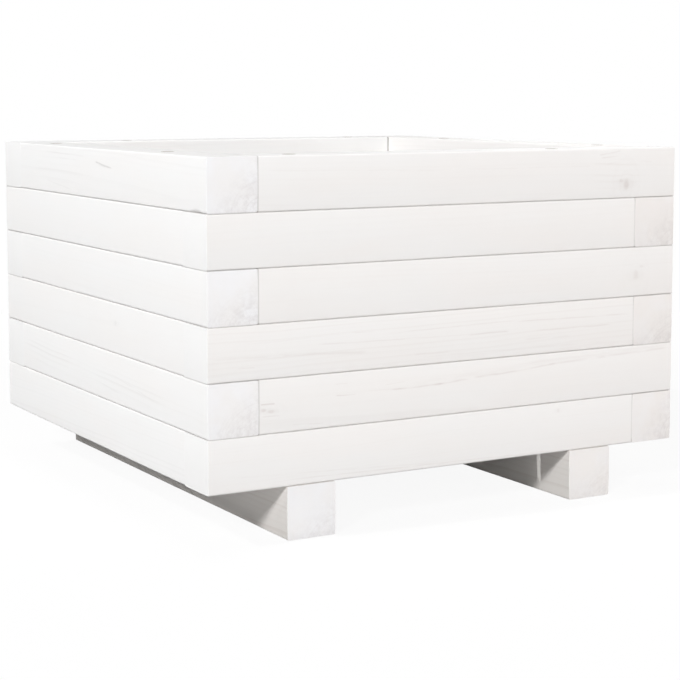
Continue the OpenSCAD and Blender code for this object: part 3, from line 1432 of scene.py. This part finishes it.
WHITE_STAIN = StainedPine()
WALL_LOOKS = {
    Wall.FRONT: WallLook(WHITE_STAIN, warmth=0.55, end_tone=0.2, butted=(0.24, 0.35)),
    Wall.RIGHT: WallLook(
        replace(WHITE_STAIN, warm_end=(0.866, 0.844, 0.83)),
        warmth=0.9, end_tone=1.5, butted=(0.5, 0.5), pith_side=1, chance_knots=True,
    ),
    Wall.BACK: WallLook(
        # Painted light: the back wall's stain is paler than the others' so that its inner face shows
        # brighter
        replace(WHITE_STAIN, stain=(0.912, 0.912, 0.910)),
        # Painted shade at its butting end and in the inner corner beside it
        warmth=0.2, end_tone=0.2, butted=(0.8, 0.8), butted_reach=2.2 * MM, corner=0.07,
        pith_side=1, chance_knots=True,
    ),
    Wall.LEFT: WallLook(
        replace(
            WHITE_STAIN,
            heart=(0.46, 0.45, 0.445),
            latewood=(0.54, 0.52, 0.51),
            end_stain=(0.905, 0.905, 0.92),
        ),
        warmth=0.3, end_tone=1.5, butted=(0.0, 0.0), fall=0.022,
    ),
}


@dataclass
class BoxWalls:
    """The six courses of wall battens.

    Attributes:
        layout: The planter's main sizes.
        ease: Radius of a batten's upper edges.
        under_ease: Radius of its lower edges.
        crown: How far a batten's side falls from its middle to its edges.
        groove: How dark the painted shade in the grooves between courses is.
        butt_end_to_screw: From a batten's butting end to its nearest screw.
        screw_stagger: How far the screws of neighbouring courses are staggered.
    """

    layout: Layout
    ease: float = 1.0 * MM
    under_ease: float = 1.4 * MM
    crown: float = 0.2 * MM
    groove: float = 0.29
    butt_end_to_screw: float = 34 * MM
    screw_stagger: float = 32 * MM

    # The chip by the near corner of the rim
    CORNER_CHIP = Ding(Edge.OUTER_BOTTOM, 346 * MM, 2.2 * MM, 9 * MM)

    # What chance draws from, where a ding's and a knot's sizes are in the order of their fields
    DING_SEED = 500
    DING_COUNT = (1, 4)
    DING_SIZES = ((20 * MM, 340 * MM), (0.3 * MM, 0.7 * MM), (5 * MM, 12 * MM))
    TIMBER_SEED = 900
    PITH_OUT = (14 * MM, 46 * MM)
    PITH_DOWN = (16 * MM, 48 * MM)
    KNOT_COUNT = (0, 3)
    KNOT_SIZES = ((30 * MM, 330 * MM), (-13 * MM, 13 * MM), (1.6 * MM, 3.4 * MM), (0.12, 0.35), (0.8, 1.6))
    NOISE_SEED = (0, 90)
    RING = (1.9 * MM, 3.4 * MM)
    CONTRAST = (0.03, 0.07)
    WARMTH_OFF = (-0.15, 0.15)
    END_TONE = (0.2, 0.3)

    @staticmethod
    def number(course: int, wall: Wall) -> int:
        """A batten's own number, which is the digit of its course and then that of its wall."""
        return 10 * course + wall.value

    def screws_along(self) -> Pair:
        """Places of a batten's own two screws, from its butting end."""
        far = self.layout.batten_length - self.layout.batten - self.butt_end_to_screw - self.screw_stagger
        return self.butt_end_to_screw, far

    def pilots_along(self) -> Pair:
        """Places of the two screws that come down from the course above.

        Returns:
            The places, from the batten's butting end.
        """
        clear = self.layout.batten_length - self.layout.batten
        near, far = self.screws_along()
        return clear - near, clear - far

    def placed(self, course: int, wall: Wall) -> Matrix:
        """Where a batten stands.

        Args:
            course: Its course, 1 at the rim.
            wall: Its wall.

        Returns:
            The matrix that turns its own coordinates into the planter's.
        """
        layout = self.layout
        outwards = Matrix.Scale(-1, 4, (0, 1, 0))
        on_front = Matrix.Translation((-layout.inner_face, -layout.wall_centre, 0)) @ outwards
        mirrored = Matrix.Scale(-1, 4, (1, 0, 0)) if course % 2 == 0 else Matrix.Identity(4)
        turned = Matrix.Rotation(wall.value * math.pi / 2, 4, "Z")
        lifted = Matrix.Translation((0, 0, layout.course_base(course) + layout.batten / 2))
        return lifted @ turned @ mirrored @ on_front

    def build(self) -> None:
        """Builds all the battens and puts them in place of their nodes."""
        for course in range(1, self.layout.courses + 1):
            for wall in Wall:
                self._build_batten(course, wall)

    def _build_batten(self, course: int, wall: Wall) -> None:
        """Builds one batten.

        Args:
            course: Its course, 1 at the rim.
            wall: Its wall.
        """
        node = f"course_{course}_{wall.label}_batten"
        bar = PlanedBar(
            length=self.layout.batten_length,
            width=self.layout.batten,
            height=self.layout.batten,
            ease=self.ease,
            under_ease=self.under_ease,
            crown=self.crown,
            seed=self.number(course, wall),
            drillings=self._drillings(course, wall),
            dings=self._dings(course, wall),
        )
        mesh = bar.mesh(node)
        mesh.materials.append(self._pine(course, wall).material(f"pine_{node}", self._timber(course, wall)))
        put_in_place(mesh, self.placed(course, wall))
        add_piece(f"{node}_stained", mesh, Slot.WALL_BATTEN, node)

    @staticmethod
    def _pine(course: int, wall: Wall) -> StainedPine:
        """The finish of one batten. An end on the left wall looks like the long grain beside it.

        Args:
            course: Its course, 1 at the rim.
            wall: Its wall.

        Returns:
            The finish.
        """
        pine = WALL_LOOKS[wall].pine
        if wall is (Wall.BACK if course % 2 else Wall.FRONT):
            stain = WHITE_STAIN.stain
            pine = replace(pine, end_stain=stain, warm_end=stain, end_pores=WHITE_STAIN.latewood)
        return pine

    def _drillings(self, course: int, wall: Wall) -> tuple[Drilling, ...]:
        """The holes of one batten.

        Args:
            course: Its course, 1 at the rim.
            wall: Its wall.

        Returns:
            The holes.
        """
        layout, top = self.layout, self.layout.batten / 2
        dowel_along = layout.batten_length - top
        holes = []
        if course < layout.courses:
            passage = COURSE_SCREW.passage(layout.batten)
            holes += [Drilling(along, top, passage) for along in self.screws_along()]
            holes += [Drilling(dowel_along, -top, CORNER_DOWEL.socket(), down=-1)]
        if course > 1:
            pilot = COURSE_SCREW.pilot(layout.batten)
            holes += [Drilling(along, top, pilot) for along in self.pilots_along()]
            holes += [Drilling(dowel_along, top, CORNER_DOWEL.socket())]
        if course == layout.courses and wall in (Wall.FRONT, Wall.BACK):
            pilot = FOOT_SCREW.pilot(layout.batten)
            feet = (layout.inner_face - layout.foot_centre, layout.inner_face + layout.foot_centre)
            holes += [Drilling(along, -top, pilot, down=-1) for along in feet]
        return tuple(holes)

    def _dings(self, course: int, wall: Wall) -> tuple[Ding, ...]:
        """The bruises of one batten: small ones of its own, and the chip by the near corner.

        Args:
            course: Its course, 1 at the rim.
            wall: Its wall.

        Returns:
            The bruises.
        """
        rng = np.random.default_rng(self.DING_SEED + self.number(course, wall))
        dings = [
            Ding(Edge(int(rng.integers(len(Edge)))), *(rng.uniform(*ends) for ends in self.DING_SIZES))
            for _ in range(rng.integers(*self.DING_COUNT))
        ]
        if (course, wall) == (1, Wall.LEFT):
            dings.append(self.CORNER_CHIP)
        return tuple(dings)

    def _timber(self, course: int, wall: Wall) -> Timber:
        """How one batten was cut: by chance, but for what the photograph shows.

        Args:
            course: Its course, 1 at the rim.
            wall: Its wall.

        Returns:
            The cut.
        """
        look = WALL_LOOKS[wall]
        rng = np.random.default_rng(self.TIMBER_SEED + self.number(course, wall))
        pith = (look.pith_side * rng.uniform(*self.PITH_OUT), -rng.uniform(*self.PITH_DOWN))
        knots = tuple(
            Knot(*(rng.uniform(*ends) for ends in self.KNOT_SIZES))
            for _ in range(rng.integers(*self.KNOT_COUNT))
        )
        timber = Timber(
            seed=rng.uniform(*self.NOISE_SEED),
            pith=pith,
            half_height=self.layout.batten / 2,
            ring=rng.uniform(*self.RING),
            contrast=rng.uniform(*self.CONTRAST),
            warmth=look.warmth + rng.uniform(*self.WARMTH_OFF),
            end_tone=look.end_tone * rng.uniform(*self.END_TONE),
            knots=knots if look.chance_knots else (),
            fall=look.fall,
            # Painted shade in the grooves along the batten's edges and at its butting end
            joints=Joints(
                above=self.groove if course > 1 else 0.0,
                below=self.groove if course < self.layout.courses else 0.0,
                butted=look.butted[course % 2],
                butted_reach=look.butted_reach,
                corner=look.corner,
            ),
        )
        return replace(timber, **seen_timber(course, wall))


@dataclass
class Feet:
    """The two battens laid from front to back under the box.

    Attributes:
        layout: The planter's main sizes.
        walls: The walls that they carry.
        slat_screw_rows: Places of the floor screws along a foot.
        crown: How far their sides fall from their middle to their edges.
        pine: Their finish.
    """

    layout: Layout
    walls: BoxWalls
    slat_screw_rows: tuple[float, ...]
    crown: float = 0.1 * MM
    pine: StainedPine = replace(
        WHITE_STAIN,
        stain=(0.92, 0.888, 0.855),
        warm_stain=(0.935, 0.905, 0.87),
        latewood=(0.56, 0.48, 0.43),
    )

    EDGE_SEED = 70
    TIMBER_SEED = 40.0
    TIMBER_STEP = 7
    PITH = (21 * MM, -30 * MM)
    RING = 2.4 * MM
    CONTRAST = 0.25
    WARMTH = 0.5
    WARMTH_STEP = 0.4
    END_TONE = 0.3

    def build(self) -> None:
        """Builds both feet and puts them in place of their nodes."""
        for side, label in ((-1, "left"), (1, "right")):
            self._build_foot(side, f"{label}_foot")

    def _build_foot(self, side: int, node: str) -> None:
        """Builds one foot.

        Args:
            side: -1 for the left and 1 for the right.
            node: The node that it stands for.
        """
        layout = self.layout
        top = layout.batten / 2
        middle = layout.wall_length / 2
        from_below = FOOT_SCREW.passage(layout.batten)
        pilot = SLAT_SCREW.pilot(layout.slat_thickness)
        holes = [Drilling(middle + end * layout.wall_centre, -top, from_below, down=-1) for end in (-1, 1)]
        holes += [Drilling(middle + row, top, pilot) for row in self.slat_screw_rows]
        mesh = PlanedBar(
            length=layout.wall_length,
            width=layout.batten,
            height=layout.batten,
            ease=self.walls.ease,
            under_ease=self.walls.under_ease,
            crown=self.crown,
            seed=self.EDGE_SEED + side,
            drillings=tuple(holes),
        ).mesh(node)
        timber = Timber(
            seed=self.TIMBER_SEED + side * self.TIMBER_STEP,
            pith=(side * self.PITH[0], self.PITH[1]),
            half_height=top,
            ring=self.RING,
            contrast=self.CONTRAST,
            warmth=self.WARMTH + side * self.WARMTH_STEP,
            end_tone=self.END_TONE,
            # Painted shade in the groove under the wall that lies on the foot
            joints=Joints(above=self.walls.groove),
        )
        mesh.materials.append(self.pine.material(f"pine_{node}", timber))
        put_in_place(mesh, Matrix((
            (0, side, 0, side * layout.foot_centre),
            (1, 0, 0, -middle),
            (0, 0, 1, top),
            (0, 0, 0, 1),
        )))
        add_piece(f"{node}_stained", mesh, Slot.FOOT, node)


class Growth(NodeKit):
    """A Geometry Nodes tree with named inputs, through which meshes are run.

    Attributes:
        inputs: Its inputs by name, "Geometry" first and "Finish" last.
    """

    SOCKET_KINDS = {int: "NodeSocketInt", float: "NodeSocketFloat", tuple: "NodeSocketVector"}

    def __init__(self, name: str, sizes: dict[str, object]) -> None:
        """Starts the tree.

        Args:
            name: Its name.
            sizes: The default of each of its own inputs, by name.
        """
        super().__init__(bpy.data.node_groups.new(name, "GeometryNodeTree"))
        sockets = self.tree.interface
        for way in ("OUTPUT", "INPUT"):
            sockets.new_socket("Geometry", in_out=way, socket_type="NodeSocketGeometry")
        for label, default in sizes.items():
            kind = self.SOCKET_KINDS[type(default)]
            sockets.new_socket(label, in_out="INPUT", socket_type=kind).default_value = default
        sockets.new_socket("Finish", in_out="INPUT", socket_type="NodeSocketMaterial")
        first = self.add("NodeGroupInput")
        self.inputs = {label: first.beside(label) for label in ("Geometry", *sizes, "Finish")}

    def end(self, geometry: Value) -> None:
        """Ends the tree with its finish on a mesh."""
        sockets = {"Geometry": geometry, "Material": self.inputs["Finish"]}
        self.add("NodeGroupOutput", {}, {"Geometry": self.add("GeometryNodeSetMaterial", {}, sockets)})

    def plant(self, solid: Value, tilt: Operand = 0.0) -> None:
        """Ends the tree with a solid on every point that goes in, each turned about its axis by chance.

        Args:
            solid: The solid's mesh.
            tilt: Angle about X at which it stands.
        """
        chance = {"Min_001": 0.0, "Max_001": math.pi, "Seed": self.inputs["Seed"]}
        turn = self.add("FunctionNodeRandomValue", {"data_type": "FLOAT"}, chance, "Value_001")
        rotation = self.add("FunctionNodeEulerToRotation", {}, {"Euler": self.combine(x=tilt, z=turn)})
        sockets = {"Points": self.inputs["Geometry"], "Instance": solid, "Rotation": rotation}
        solids = self.add("GeometryNodeInstanceOnPoints", {}, sockets)
        self.end(self.add("GeometryNodeRealizeInstances", {}, {"Geometry": solids}))

    def circle(self, sides: int, radius: Operand) -> Value:
        """A round curve."""
        sockets = {"Resolution": sides, "Radius": radius}
        return self.add("GeometryNodeCurvePrimitiveCircle", {}, sockets, "Curve")

    def lathe(self, depths: Sequence[Operand], radii: Sequence[Operand], profile: Value) -> Value:
        """A turned solid that hangs down from the origin.

        Args:
            depths: Depths of its rings below the origin, in order.
            radii: Their radii.
            profile: A ring of radius 1.

        Returns:
            The solid's mesh.
        """
        count = len(depths)
        number = self.add("GeometryNodeInputIndex")

        def pick(values: Sequence[Operand]) -> Value:
            """The value that belongs to each ring."""
            sockets = {"Index": number, **{f"Item_{ring}": value for ring, value in enumerate(values)}}
            return self.add("GeometryNodeIndexSwitch", {"data_type": "FLOAT", "items": count}, sockets)

        line = self.add("GeometryNodeCurvePrimitiveLine", {}, {"End": (0, 0, -1)}, "Curve")
        line = self.add("GeometryNodeResampleCurve", {}, {"Curve": line, "Count": count})
        places = self.combine(z=-pick(depths))
        spine = self.add("GeometryNodeSetPosition", {}, {"Geometry": line, "Position": places})
        return self.add("GeometryNodeCurveToMesh", {}, {
            "Curve": spine, "Profile Curve": profile, "Scale": pick(radii), "Fill Caps": True,
        })

    def run(self, mesh: bpy.types.Mesh, sizes: dict[str, object]) -> bpy.types.Mesh:
        """Runs a mesh through the tree.

        Args:
            mesh: The mesh that goes in, which is deleted.
            sizes: The values of the tree's inputs, by name, where they aren't the defaults.

        Returns:
            The result as a plain mesh.
        """
        def dress(bench: bpy.types.Object) -> None:
            """Adds the tree with its inputs set.

            Args:
                bench: The object that carries the mesh.
            """
            modifier = bench.modifiers.new(self.tree.name, "NODES")
            modifier.node_group = self.tree
            for item in self.tree.interface.items_tree:
                if item.in_out == "INPUT" and item.name in sizes:
                    modifier[item.identifier] = sizes[item.name]

        return evaluated(mesh, dress)


class SlatRow(Growth):
    """The tree that lays a slat side by side with itself, each time cut from other wood."""

    SIZES = {"Count": 4, "Pitch": 80 * MM, "Timber Step": (1.3, 11 * MM, -7 * MM)}

    def __init__(self) -> None:
        """Builds the tree, which takes one slat's mesh."""
        super().__init__("slat_row", self.SIZES)
        number = self.add("GeometryNodeInputIndex")
        half_turn = self.combine(z=number.math("MODULO", 2.0) * math.pi)
        slats = self.add("GeometryNodeInstanceOnPoints", {}, {
            "Points": self.add("GeometryNodeMeshLine", {}, {
                "Count": self.inputs["Count"], "Offset": self.combine(y=self.inputs["Pitch"]),
            }),
            "Instance": self.inputs["Geometry"],
            "Rotation": self.add("FunctionNodeEulerToRotation", {}, {"Euler": half_turn}),
        })
        slats = self._stored(slats, "slat_number", "FLOAT", "INSTANCE", number)
        slats = self.add("GeometryNodeRealizeInstances", {}, {"Geometry": slats})
        slat_number = self._read("slat_number", "FLOAT")
        steps = self.combine(slat_number, slat_number, slat_number)
        timber = self._read("timber", "FLOAT_VECTOR")
        moved = self.vector("MULTIPLY_ADD", self.inputs["Timber Step"], steps, timber)
        self.end(self._stored(slats, "timber", "FLOAT_VECTOR", "POINT", moved))

    def _read(self, name: str, kind: str) -> Value:
        """A named attribute."""
        return self.add("GeometryNodeInputNamedAttribute", {"data_type": kind}, {"Name": name})

    def _stored(self, geometry: Value, name: str, kind: str, domain: str, value: Value) -> Value:
        """A geometry with a named attribute stored on it."""
        sockets = {"Geometry": geometry, "Name": name, "Value": value}
        return self.add("GeometryNodeStoreNamedAttribute", {"data_type": kind, "domain": domain}, sockets)


@dataclass
class BoxFloor:
    """The slats across the feet.

    Attributes:
        layout: The planter's main sizes.
        edge_to_screw: From a slat's long edge to its screws.
        ease: Radius of a slat's long edges.
        pine: Their finish.
    """

    layout: Layout
    edge_to_screw: float = 18 * MM
    ease: float = 1 * MM
    pine: StainedPine = WHITE_STAIN

    EDGE_SEED = 31
    TIMBER_SEED = 63.0
    PITH = (18 * MM, -64 * MM)
    RING = 3.1 * MM
    CONTRAST = 0.07
    WARMTH = 0.6
    KNOT = Knot(210 * MM, 2 * MM, 4 * MM, 0.3)

    @property
    def count(self) -> int:
        """How many slats there are."""
        return sum(name.startswith("floor_slat_") and name[-1].isdigit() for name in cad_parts)

    def screw_offset(self) -> float:
        """From a slat's middle line to its screws."""
        return self.layout.slat_width / 2 - self.edge_to_screw

    def screw_rows(self) -> tuple[float, ...]:
        """Places of all the rows of screws.

        Returns:
            The places, from the middle of the box.
        """
        layout = self.layout
        middles = [layout.first_slat + slat * layout.slat_pitch for slat in range(self.count)]
        return tuple(middle + side * self.screw_offset() for middle in middles for side in (-1, 1))

    def build(self) -> None:
        """Builds all the slats and puts them in place of their nodes."""
        layout = self.layout
        top, half_length = layout.slat_thickness / 2, layout.slat_length / 2
        passage = SLAT_SCREW.passage(layout.slat_thickness)
        holes = tuple(
            Drilling(half_length + along, top, passage, across=side * self.screw_offset())
            for along in (-layout.foot_centre, layout.foot_centre) for side in (-1, 1)
        )
        mesh = PlanedBar(
            length=layout.slat_length,
            width=layout.slat_width,
            height=layout.slat_thickness,
            ease=self.ease,
            under_ease=self.ease,
            seed=self.EDGE_SEED,
            drillings=holes,
        ).mesh("floor_slats")
        mesh.transform(Matrix.Translation((-half_length, 0, 0)))
        timber = Timber(
            seed=self.TIMBER_SEED,
            pith=self.PITH,
            half_height=top,
            ring=self.RING,
            contrast=self.CONTRAST,
            warmth=self.WARMTH,
            knots=(self.KNOT,),
        )
        mesh = SlatRow().run(mesh, {
            "Count": self.count,
            "Pitch": layout.slat_pitch,
            "Finish": self.pine.material("pine_floor_slats", timber),
        })
        put_in_place(mesh, Matrix.Translation((0, layout.first_slat, layout.batten + top)))
        nodes = [f"floor_slat_{slat + 1}" for slat in range(self.count)]
        add_piece("floor_slats_stained", mesh, Slot.FLOOR_SLAT, *nodes)


class WoodScrew(Growth):
    """The tree that puts a countersunk, cross-recessed wood screw on every point."""

    SIDES = 24
    CORE_SHARE = 0.68
    TIP_RADIUS = 0.12 * MM
    RECESS = {"Recess Depth": 1.8 * MM, "Recess Width": 1.2 * MM, "Recess Span": 0.55}
    THREADED_SHARE = 0.62
    THREAD_START = 0.8
    TURN_STEPS = 10
    RIDGE_SIDES = 3

    def __init__(self) -> None:
        """Builds the tree."""
        super().__init__("wood_screw", {**self.sizes(COURSE_SCREW), **self.RECESS, "Tilt": 0.0, "Seed": 0})
        core = self.inputs["Shank"] * (self.CORE_SHARE / 2)
        parts = [self._body(core), self._thread(core)]
        self.plant(self.add("GeometryNodeJoinGeometry", {}, {"Geometry": parts}), self.inputs["Tilt"])

    @staticmethod
    def sizes(screw: ScrewSize) -> dict[str, float]:
        """A screw's sizes by the names of the tree's inputs."""
        return {
            "Length": screw.length, "Shank": screw.shank, "Head": screw.head, "Head Rim": screw.head_rim,
            "Point": screw.point, "Pitch": screw.pitch,
        }

    def _body(self, core: Value) -> Value:
        """The turned body, head up at the origin, with the cross recess cut out of it.

        Args:
            core: Radius inside the thread.

        Returns:
            The body's mesh.
        """
        head, rim, length = (self.inputs[name] for name in ("Head", "Head Rim", "Length"))
        radius = head * 0.5
        depths = (0.0, rim, rim + radius - core, length - self.inputs["Point"], length)
        radii = (radius, radius, core, core, self.TIP_RADIUS)
        body = self.lathe(depths, radii, self.circle(self.SIDES, 1.0))
        span, width = head * self.inputs["Recess Span"], self.inputs["Recess Width"]
        depth = self.inputs["Recess Depth"] * 2.0
        sizes = (self.combine(span, width, depth), self.combine(width, span, depth))
        slots = [self.add("GeometryNodeMeshCube", {}, {"Size": size}, "Mesh") for size in sizes]
        settings = {"operation": "DIFFERENCE", "solver": "EXACT"}
        return self.add("GeometryNodeMeshBoolean", settings, {"Mesh 1": body, "Mesh 2": slots}, "Mesh")

    def _thread(self, core: Value) -> Value:
        """The thread: a sharp ridge along a helix round the core.

        Args:
            core: Radius inside the thread.

        Returns:
            The thread's mesh.
        """
        threaded = self.inputs["Length"] * self.THREADED_SHARE
        helix = self.add("GeometryNodeCurveSpiral", {}, {
            "Resolution": self.TURN_STEPS, "Rotations": threaded / self.inputs["Pitch"],
            "Start Radius": core, "End Radius": core, "Height": threaded,
        })
        ridge = self.circle(self.RIDGE_SIDES, self.inputs["Shank"] * 0.5 - core)
        sockets = {"Curve": helix, "Profile Curve": ridge, "Fill Caps": True}
        swept = self.add("GeometryNodeCurveToMesh", {}, sockets)
        down = self.combine(z=self.inputs["Point"] * self.THREAD_START - self.inputs["Length"])
        return self.add("GeometryNodeTransform", {}, {"Geometry": swept, "Translation": down})


class FlutedDowel(Growth):
    """The tree that puts a fluted, chamfered dowel on every point."""

    FLUTES = {"Flutes": 18, "Flute Depth": 0.06}

    def __init__(self) -> None:
        """Builds the tree."""
        super().__init__("fluted_dowel", {**self.sizes(CORNER_DOWEL), **self.FLUTES, "Seed": 0})
        star = self.add("GeometryNodeCurveStar", {}, {
            "Points": self.inputs["Flutes"],
            "Inner Radius": 1.0 - self.inputs["Flute Depth"],
            "Outer Radius": 1.0,
        }, "Curve")
        length, chamfer = self.inputs["Length"], self.inputs["Chamfer"]
        radius = self.inputs["Diameter"] * 0.5
        end = radius - chamfer
        turned = self.lathe((0.0, chamfer, length - chamfer, length), (end, radius, radius, end), star)
        sockets = {"Geometry": turned, "Translation": self.combine(z=length * 0.5)}
        self.plant(self.add("GeometryNodeTransform", {}, sockets))

    @staticmethod
    def sizes(dowel: DowelSize) -> dict[str, float]:
        """A dowel's sizes by the names of the tree's inputs."""
        return {"Diameter": dowel.diameter, "Length": dowel.length, "Chamfer": dowel.chamfer}


@dataclass
class Fastenings:
    """The screws and dowels that hold the planter together.

    Attributes:
        walls: The walls, which know where their screws stand.
        floor: The floor, which knows where its screws stand.
        zinc: The screws' finish.
        beech: The dowels' finish.
    """

    walls: BoxWalls
    floor: BoxFloor
    zinc: CloudedFinish = ZINC_PLATE
    beech: CloudedFinish = BEECH

    def build(self) -> None:
        """Builds all the screws and dowels and puts them in place of their nodes."""
        layout = self.walls.layout
        stacked = range(1, layout.courses)
        feet = (-layout.foot_centre, layout.foot_centre)
        walls = (-layout.wall_centre, layout.wall_centre)
        floor_top = layout.batten + layout.slat_thickness - SLAT_SCREW.sink
        under = [(x, y, FOOT_SCREW.sink) for x in feet for y in walls]
        over = [(x, y, floor_top) for y in self.floor.screw_rows() for x in feet]
        groups = [
            (f"course_{course}_screws", self._course_places(course), COURSE_SCREW, 0.0) for course in stacked
        ]
        groups += [("foot_screws", under, FOOT_SCREW, math.pi), ("floor_slat_screws", over, SLAT_SCREW, 0.0)]
        screw = WoodScrew()
        plated = self.zinc.material("zinc_plated_screws")
        for node, places, size, tilt in groups:
            inputs = {**screw.sizes(size), "Tilt": tilt, "Seed": len(node), "Finish": plated}
            mesh = screw.run(mesh_from(node, np.array(places), []), inputs)
            add_piece(f"{node}_plated", mesh, Slot.SCREW, node)
        dowel = FlutedDowel()
        turned = self.beech.material("beech_dowels")
        for course in stacked:
            node = f"course_{course}_corner_dowels"
            places = [(x, y, layout.course_base(course)) for x in walls for y in walls]
            mesh = dowel.run(mesh_from(node, np.array(places), []), {"Seed": course, "Finish": turned})
            add_piece(f"{node}_fluted", mesh, Slot.DOWEL, node)

    def _course_places(self, course: int) -> list[Triple]:
        """Tops of the heads of one course's screws."""
        seat = self.walls.layout.batten / 2 - COURSE_SCREW.sink
        return [
            tuple(self.walls.placed(course, wall) @ Vector((along, 0, seat)))
            for wall in Wall for along in self.walls.screws_along()
        ]


@dataclass(frozen=True)
class PhotoCamera:
    """The camera at the photograph's viewpoint.

    Attributes:
        place: Where it stands.
        yaw: How far it looks to the right of straight back, in radians.
        pitch: How far it looks down, in radians.
        lens: Its focal length in millimetres.
        sensor: The width of its sensor in millimetres.
        shift: The share of the frame by which the picture is raised.
    """

    place: Triple = (-0.6915, -1.2351, 0.3096)
    yaw: float = 0.5204
    pitch: float = 0.0927
    lens: float = 91.74
    sensor: float = 36.0
    shift: float = 0.13

    def build(self) -> None:
        """Adds the camera and makes it the scene's own."""
        data = bpy.data.cameras.new("photo_camera")
        data.lens = self.lens
        data.sensor_width = self.sensor
        data.shift_y = -self.shift
        camera = in_scene("photo_camera", data)
        camera.location = self.place
        camera.rotation_euler = (math.pi / 2 - self.pitch, 0, -self.yaw)
        bpy.context.scene.camera = camera


@dataclass(frozen=True)
class Lamp:
    """A round soft lamp that looks at the planter.

    Attributes:
        name: Its name.
        towards: The way from the planter to it.
        power: In watts.
        radius: Half of its diameter.
        distance: How far it stands off.
        colour: Its colour.
    """

    name: str
    towards: Triple
    power: float
    radius: float = 1.2
    distance: float = 6.0
    colour: Colour = PLAIN_WHITE

    def build(self, aim: Vector) -> None:
        """Adds the lamp.

        Args:
            aim: What it looks at.
        """
        data = bpy.data.lights.new(self.name, "AREA")
        data.shape = "DISK"
        data.size = 2 * self.radius
        data.energy = self.power
        data.color = self.colour
        lamp = in_scene(self.name, data)
        direction = Vector(self.towards).normalized()
        lamp.location = aim + direction * self.distance
        lamp.rotation_mode = "QUATERNION"
        lamp.rotation_quaternion = direction.to_track_quat("Z", "Y")


@dataclass
class Studio:
    """The pale floor, the white surroundings and the lamps.

    Attributes:
        floor_half: Half of the floor's side.
        floor_grey: How much light the floor gives back.
        shadow_share: How much of the floor's own shading the camera sees near the planter.
        shadow_reach: From where to where that share falls to nothing.
        surroundings: How brightly the surroundings light the planter.
        aim: The place in the planter that the lamps look at.
        lamps: The lamps.
    """

    floor_half: float = 6.0
    floor_grey: float = 0.5
    shadow_share: float = 0.08
    shadow_reach: Pair = (0.35, 1.1)
    surroundings: float = 0.1
    aim: Triple = (0.0, 0.0, 0.13)
    lamps: tuple[Lamp, ...] = (
        Lamp("key", (-1.3, -1.0, 0.8), 186.0, radius=0.4),
        Lamp("left_high", (-0.7, 0.02, 0.68), 153.0, radius=0.04),
        Lamp("ceiling", (0.0, 0.0, 1.0), 32.0),
        Lamp("front_fill", (-0.07, -1.0, 0.25), 132.0),
        Lamp("back_fill", (1.0, 1.0, 0.3), 96.0),
        Lamp("right_fill", (1.0, 0.2, 0.12), 120.0),
        Lamp("warm_card", (0.9, -1.0, 0.15), 0.5, radius=0.25, distance=1.1, colour=(1.0, 0.66, 0.48)),
    )

    def build(self) -> None:
        """Adds the floor, the surroundings and the lamps."""
        self._add_floor()
        self._light_surroundings()
        for lamp in self.lamps:
            lamp.build(Vector(self.aim))
        bpy.context.scene.view_settings.view_transform = "Standard"

    @staticmethod
    def _seen(kit: NodeKit) -> Value:
        """Which rays show the surroundings: those from the camera, in gloss and through glass.

        Args:
            kit: The tree's kit.

        Returns:
            1 for them and 0 for the rest.
        """
        direct = kit.add("ShaderNodeLightPath", {}, {}, "Is Camera Ray")
        in_gloss, through_glass = direct.beside("Is Glossy Ray"), direct.beside("Is Transmission Ray")
        return direct.math("MAXIMUM", in_gloss).math("MAXIMUM", through_glass)

    def _add_floor(self) -> None:
        """Adds the floor, white to the camera but for the planter's faint shadow."""
        half = self.floor_half
        corners = np.array([(-half, -half, 0), (half, -half, 0), (half, half, 0), (-half, half, 0)])
        mesh = mesh_from("studio_floor", corners, [[0, 1, 2, 3]])
        material, kit = new_material("pale_floor")
        plain = kit.add("ShaderNodeBsdfDiffuse", {}, {"Color": (self.floor_grey,) * 3})
        shaded = kit.add("ShaderNodeBsdfDiffuse", {}, {"Color": PLAIN_WHITE})
        white = kit.add("ShaderNodeEmission", {}, {"Strength": 1.0})
        place = kit.add("ShaderNodeTexCoord", {}, {}, "Object")
        near, far = self.shadow_reach
        share = kit.vector("LENGTH", place).beside("Value").rise(far, near) * self.shadow_share
        shown = kit.add("ShaderNodeMixShader", {}, {"Fac": share, "Shader": white, "Shader_001": shaded})
        seen = self._seen(kit)
        surface = kit.add("ShaderNodeMixShader", {}, {"Fac": seen, "Shader": plain, "Shader_001": shown})
        kit.add("ShaderNodeOutputMaterial", {}, {"Surface": surface})
        mesh.materials.append(material)
        in_scene("studio_floor", mesh)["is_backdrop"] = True

    def _light_surroundings(self) -> None:
        """Makes the surroundings white to the camera and a plain pale grey as light."""
        world = bpy.data.worlds.new("studio")
        world.use_nodes = True
        kit = NodeKit(world.node_tree)
        strength = self._seen(kit) * (1.0 - self.surroundings) + self.surroundings
        light = kit.add("ShaderNodeBackground", {}, {"Color": PLAIN_WHITE, "Strength": strength})
        kit.add("ShaderNodeOutputWorld", {}, {"Surface": light})
        bpy.context.scene.world = world


def note_sizes() -> None:
    """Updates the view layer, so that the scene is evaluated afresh.
    """
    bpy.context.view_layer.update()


def main() -> None:
    """Builds the planter's looks and the studio round it."""
    logging.basicConfig(level=logging.INFO, format="%(name)s: %(message)s")
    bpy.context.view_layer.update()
    PhotoCamera().build()
    layout = Layout.measured()
    walls = BoxWalls(layout)
    floor = BoxFloor(layout)
    walls.build()
    Feet(layout, walls, floor.screw_rows()).build()
    floor.build()
    Fastenings(walls, floor).build()
    Studio().build()
    note_sizes()


if __name__ == "__main__":
    main()
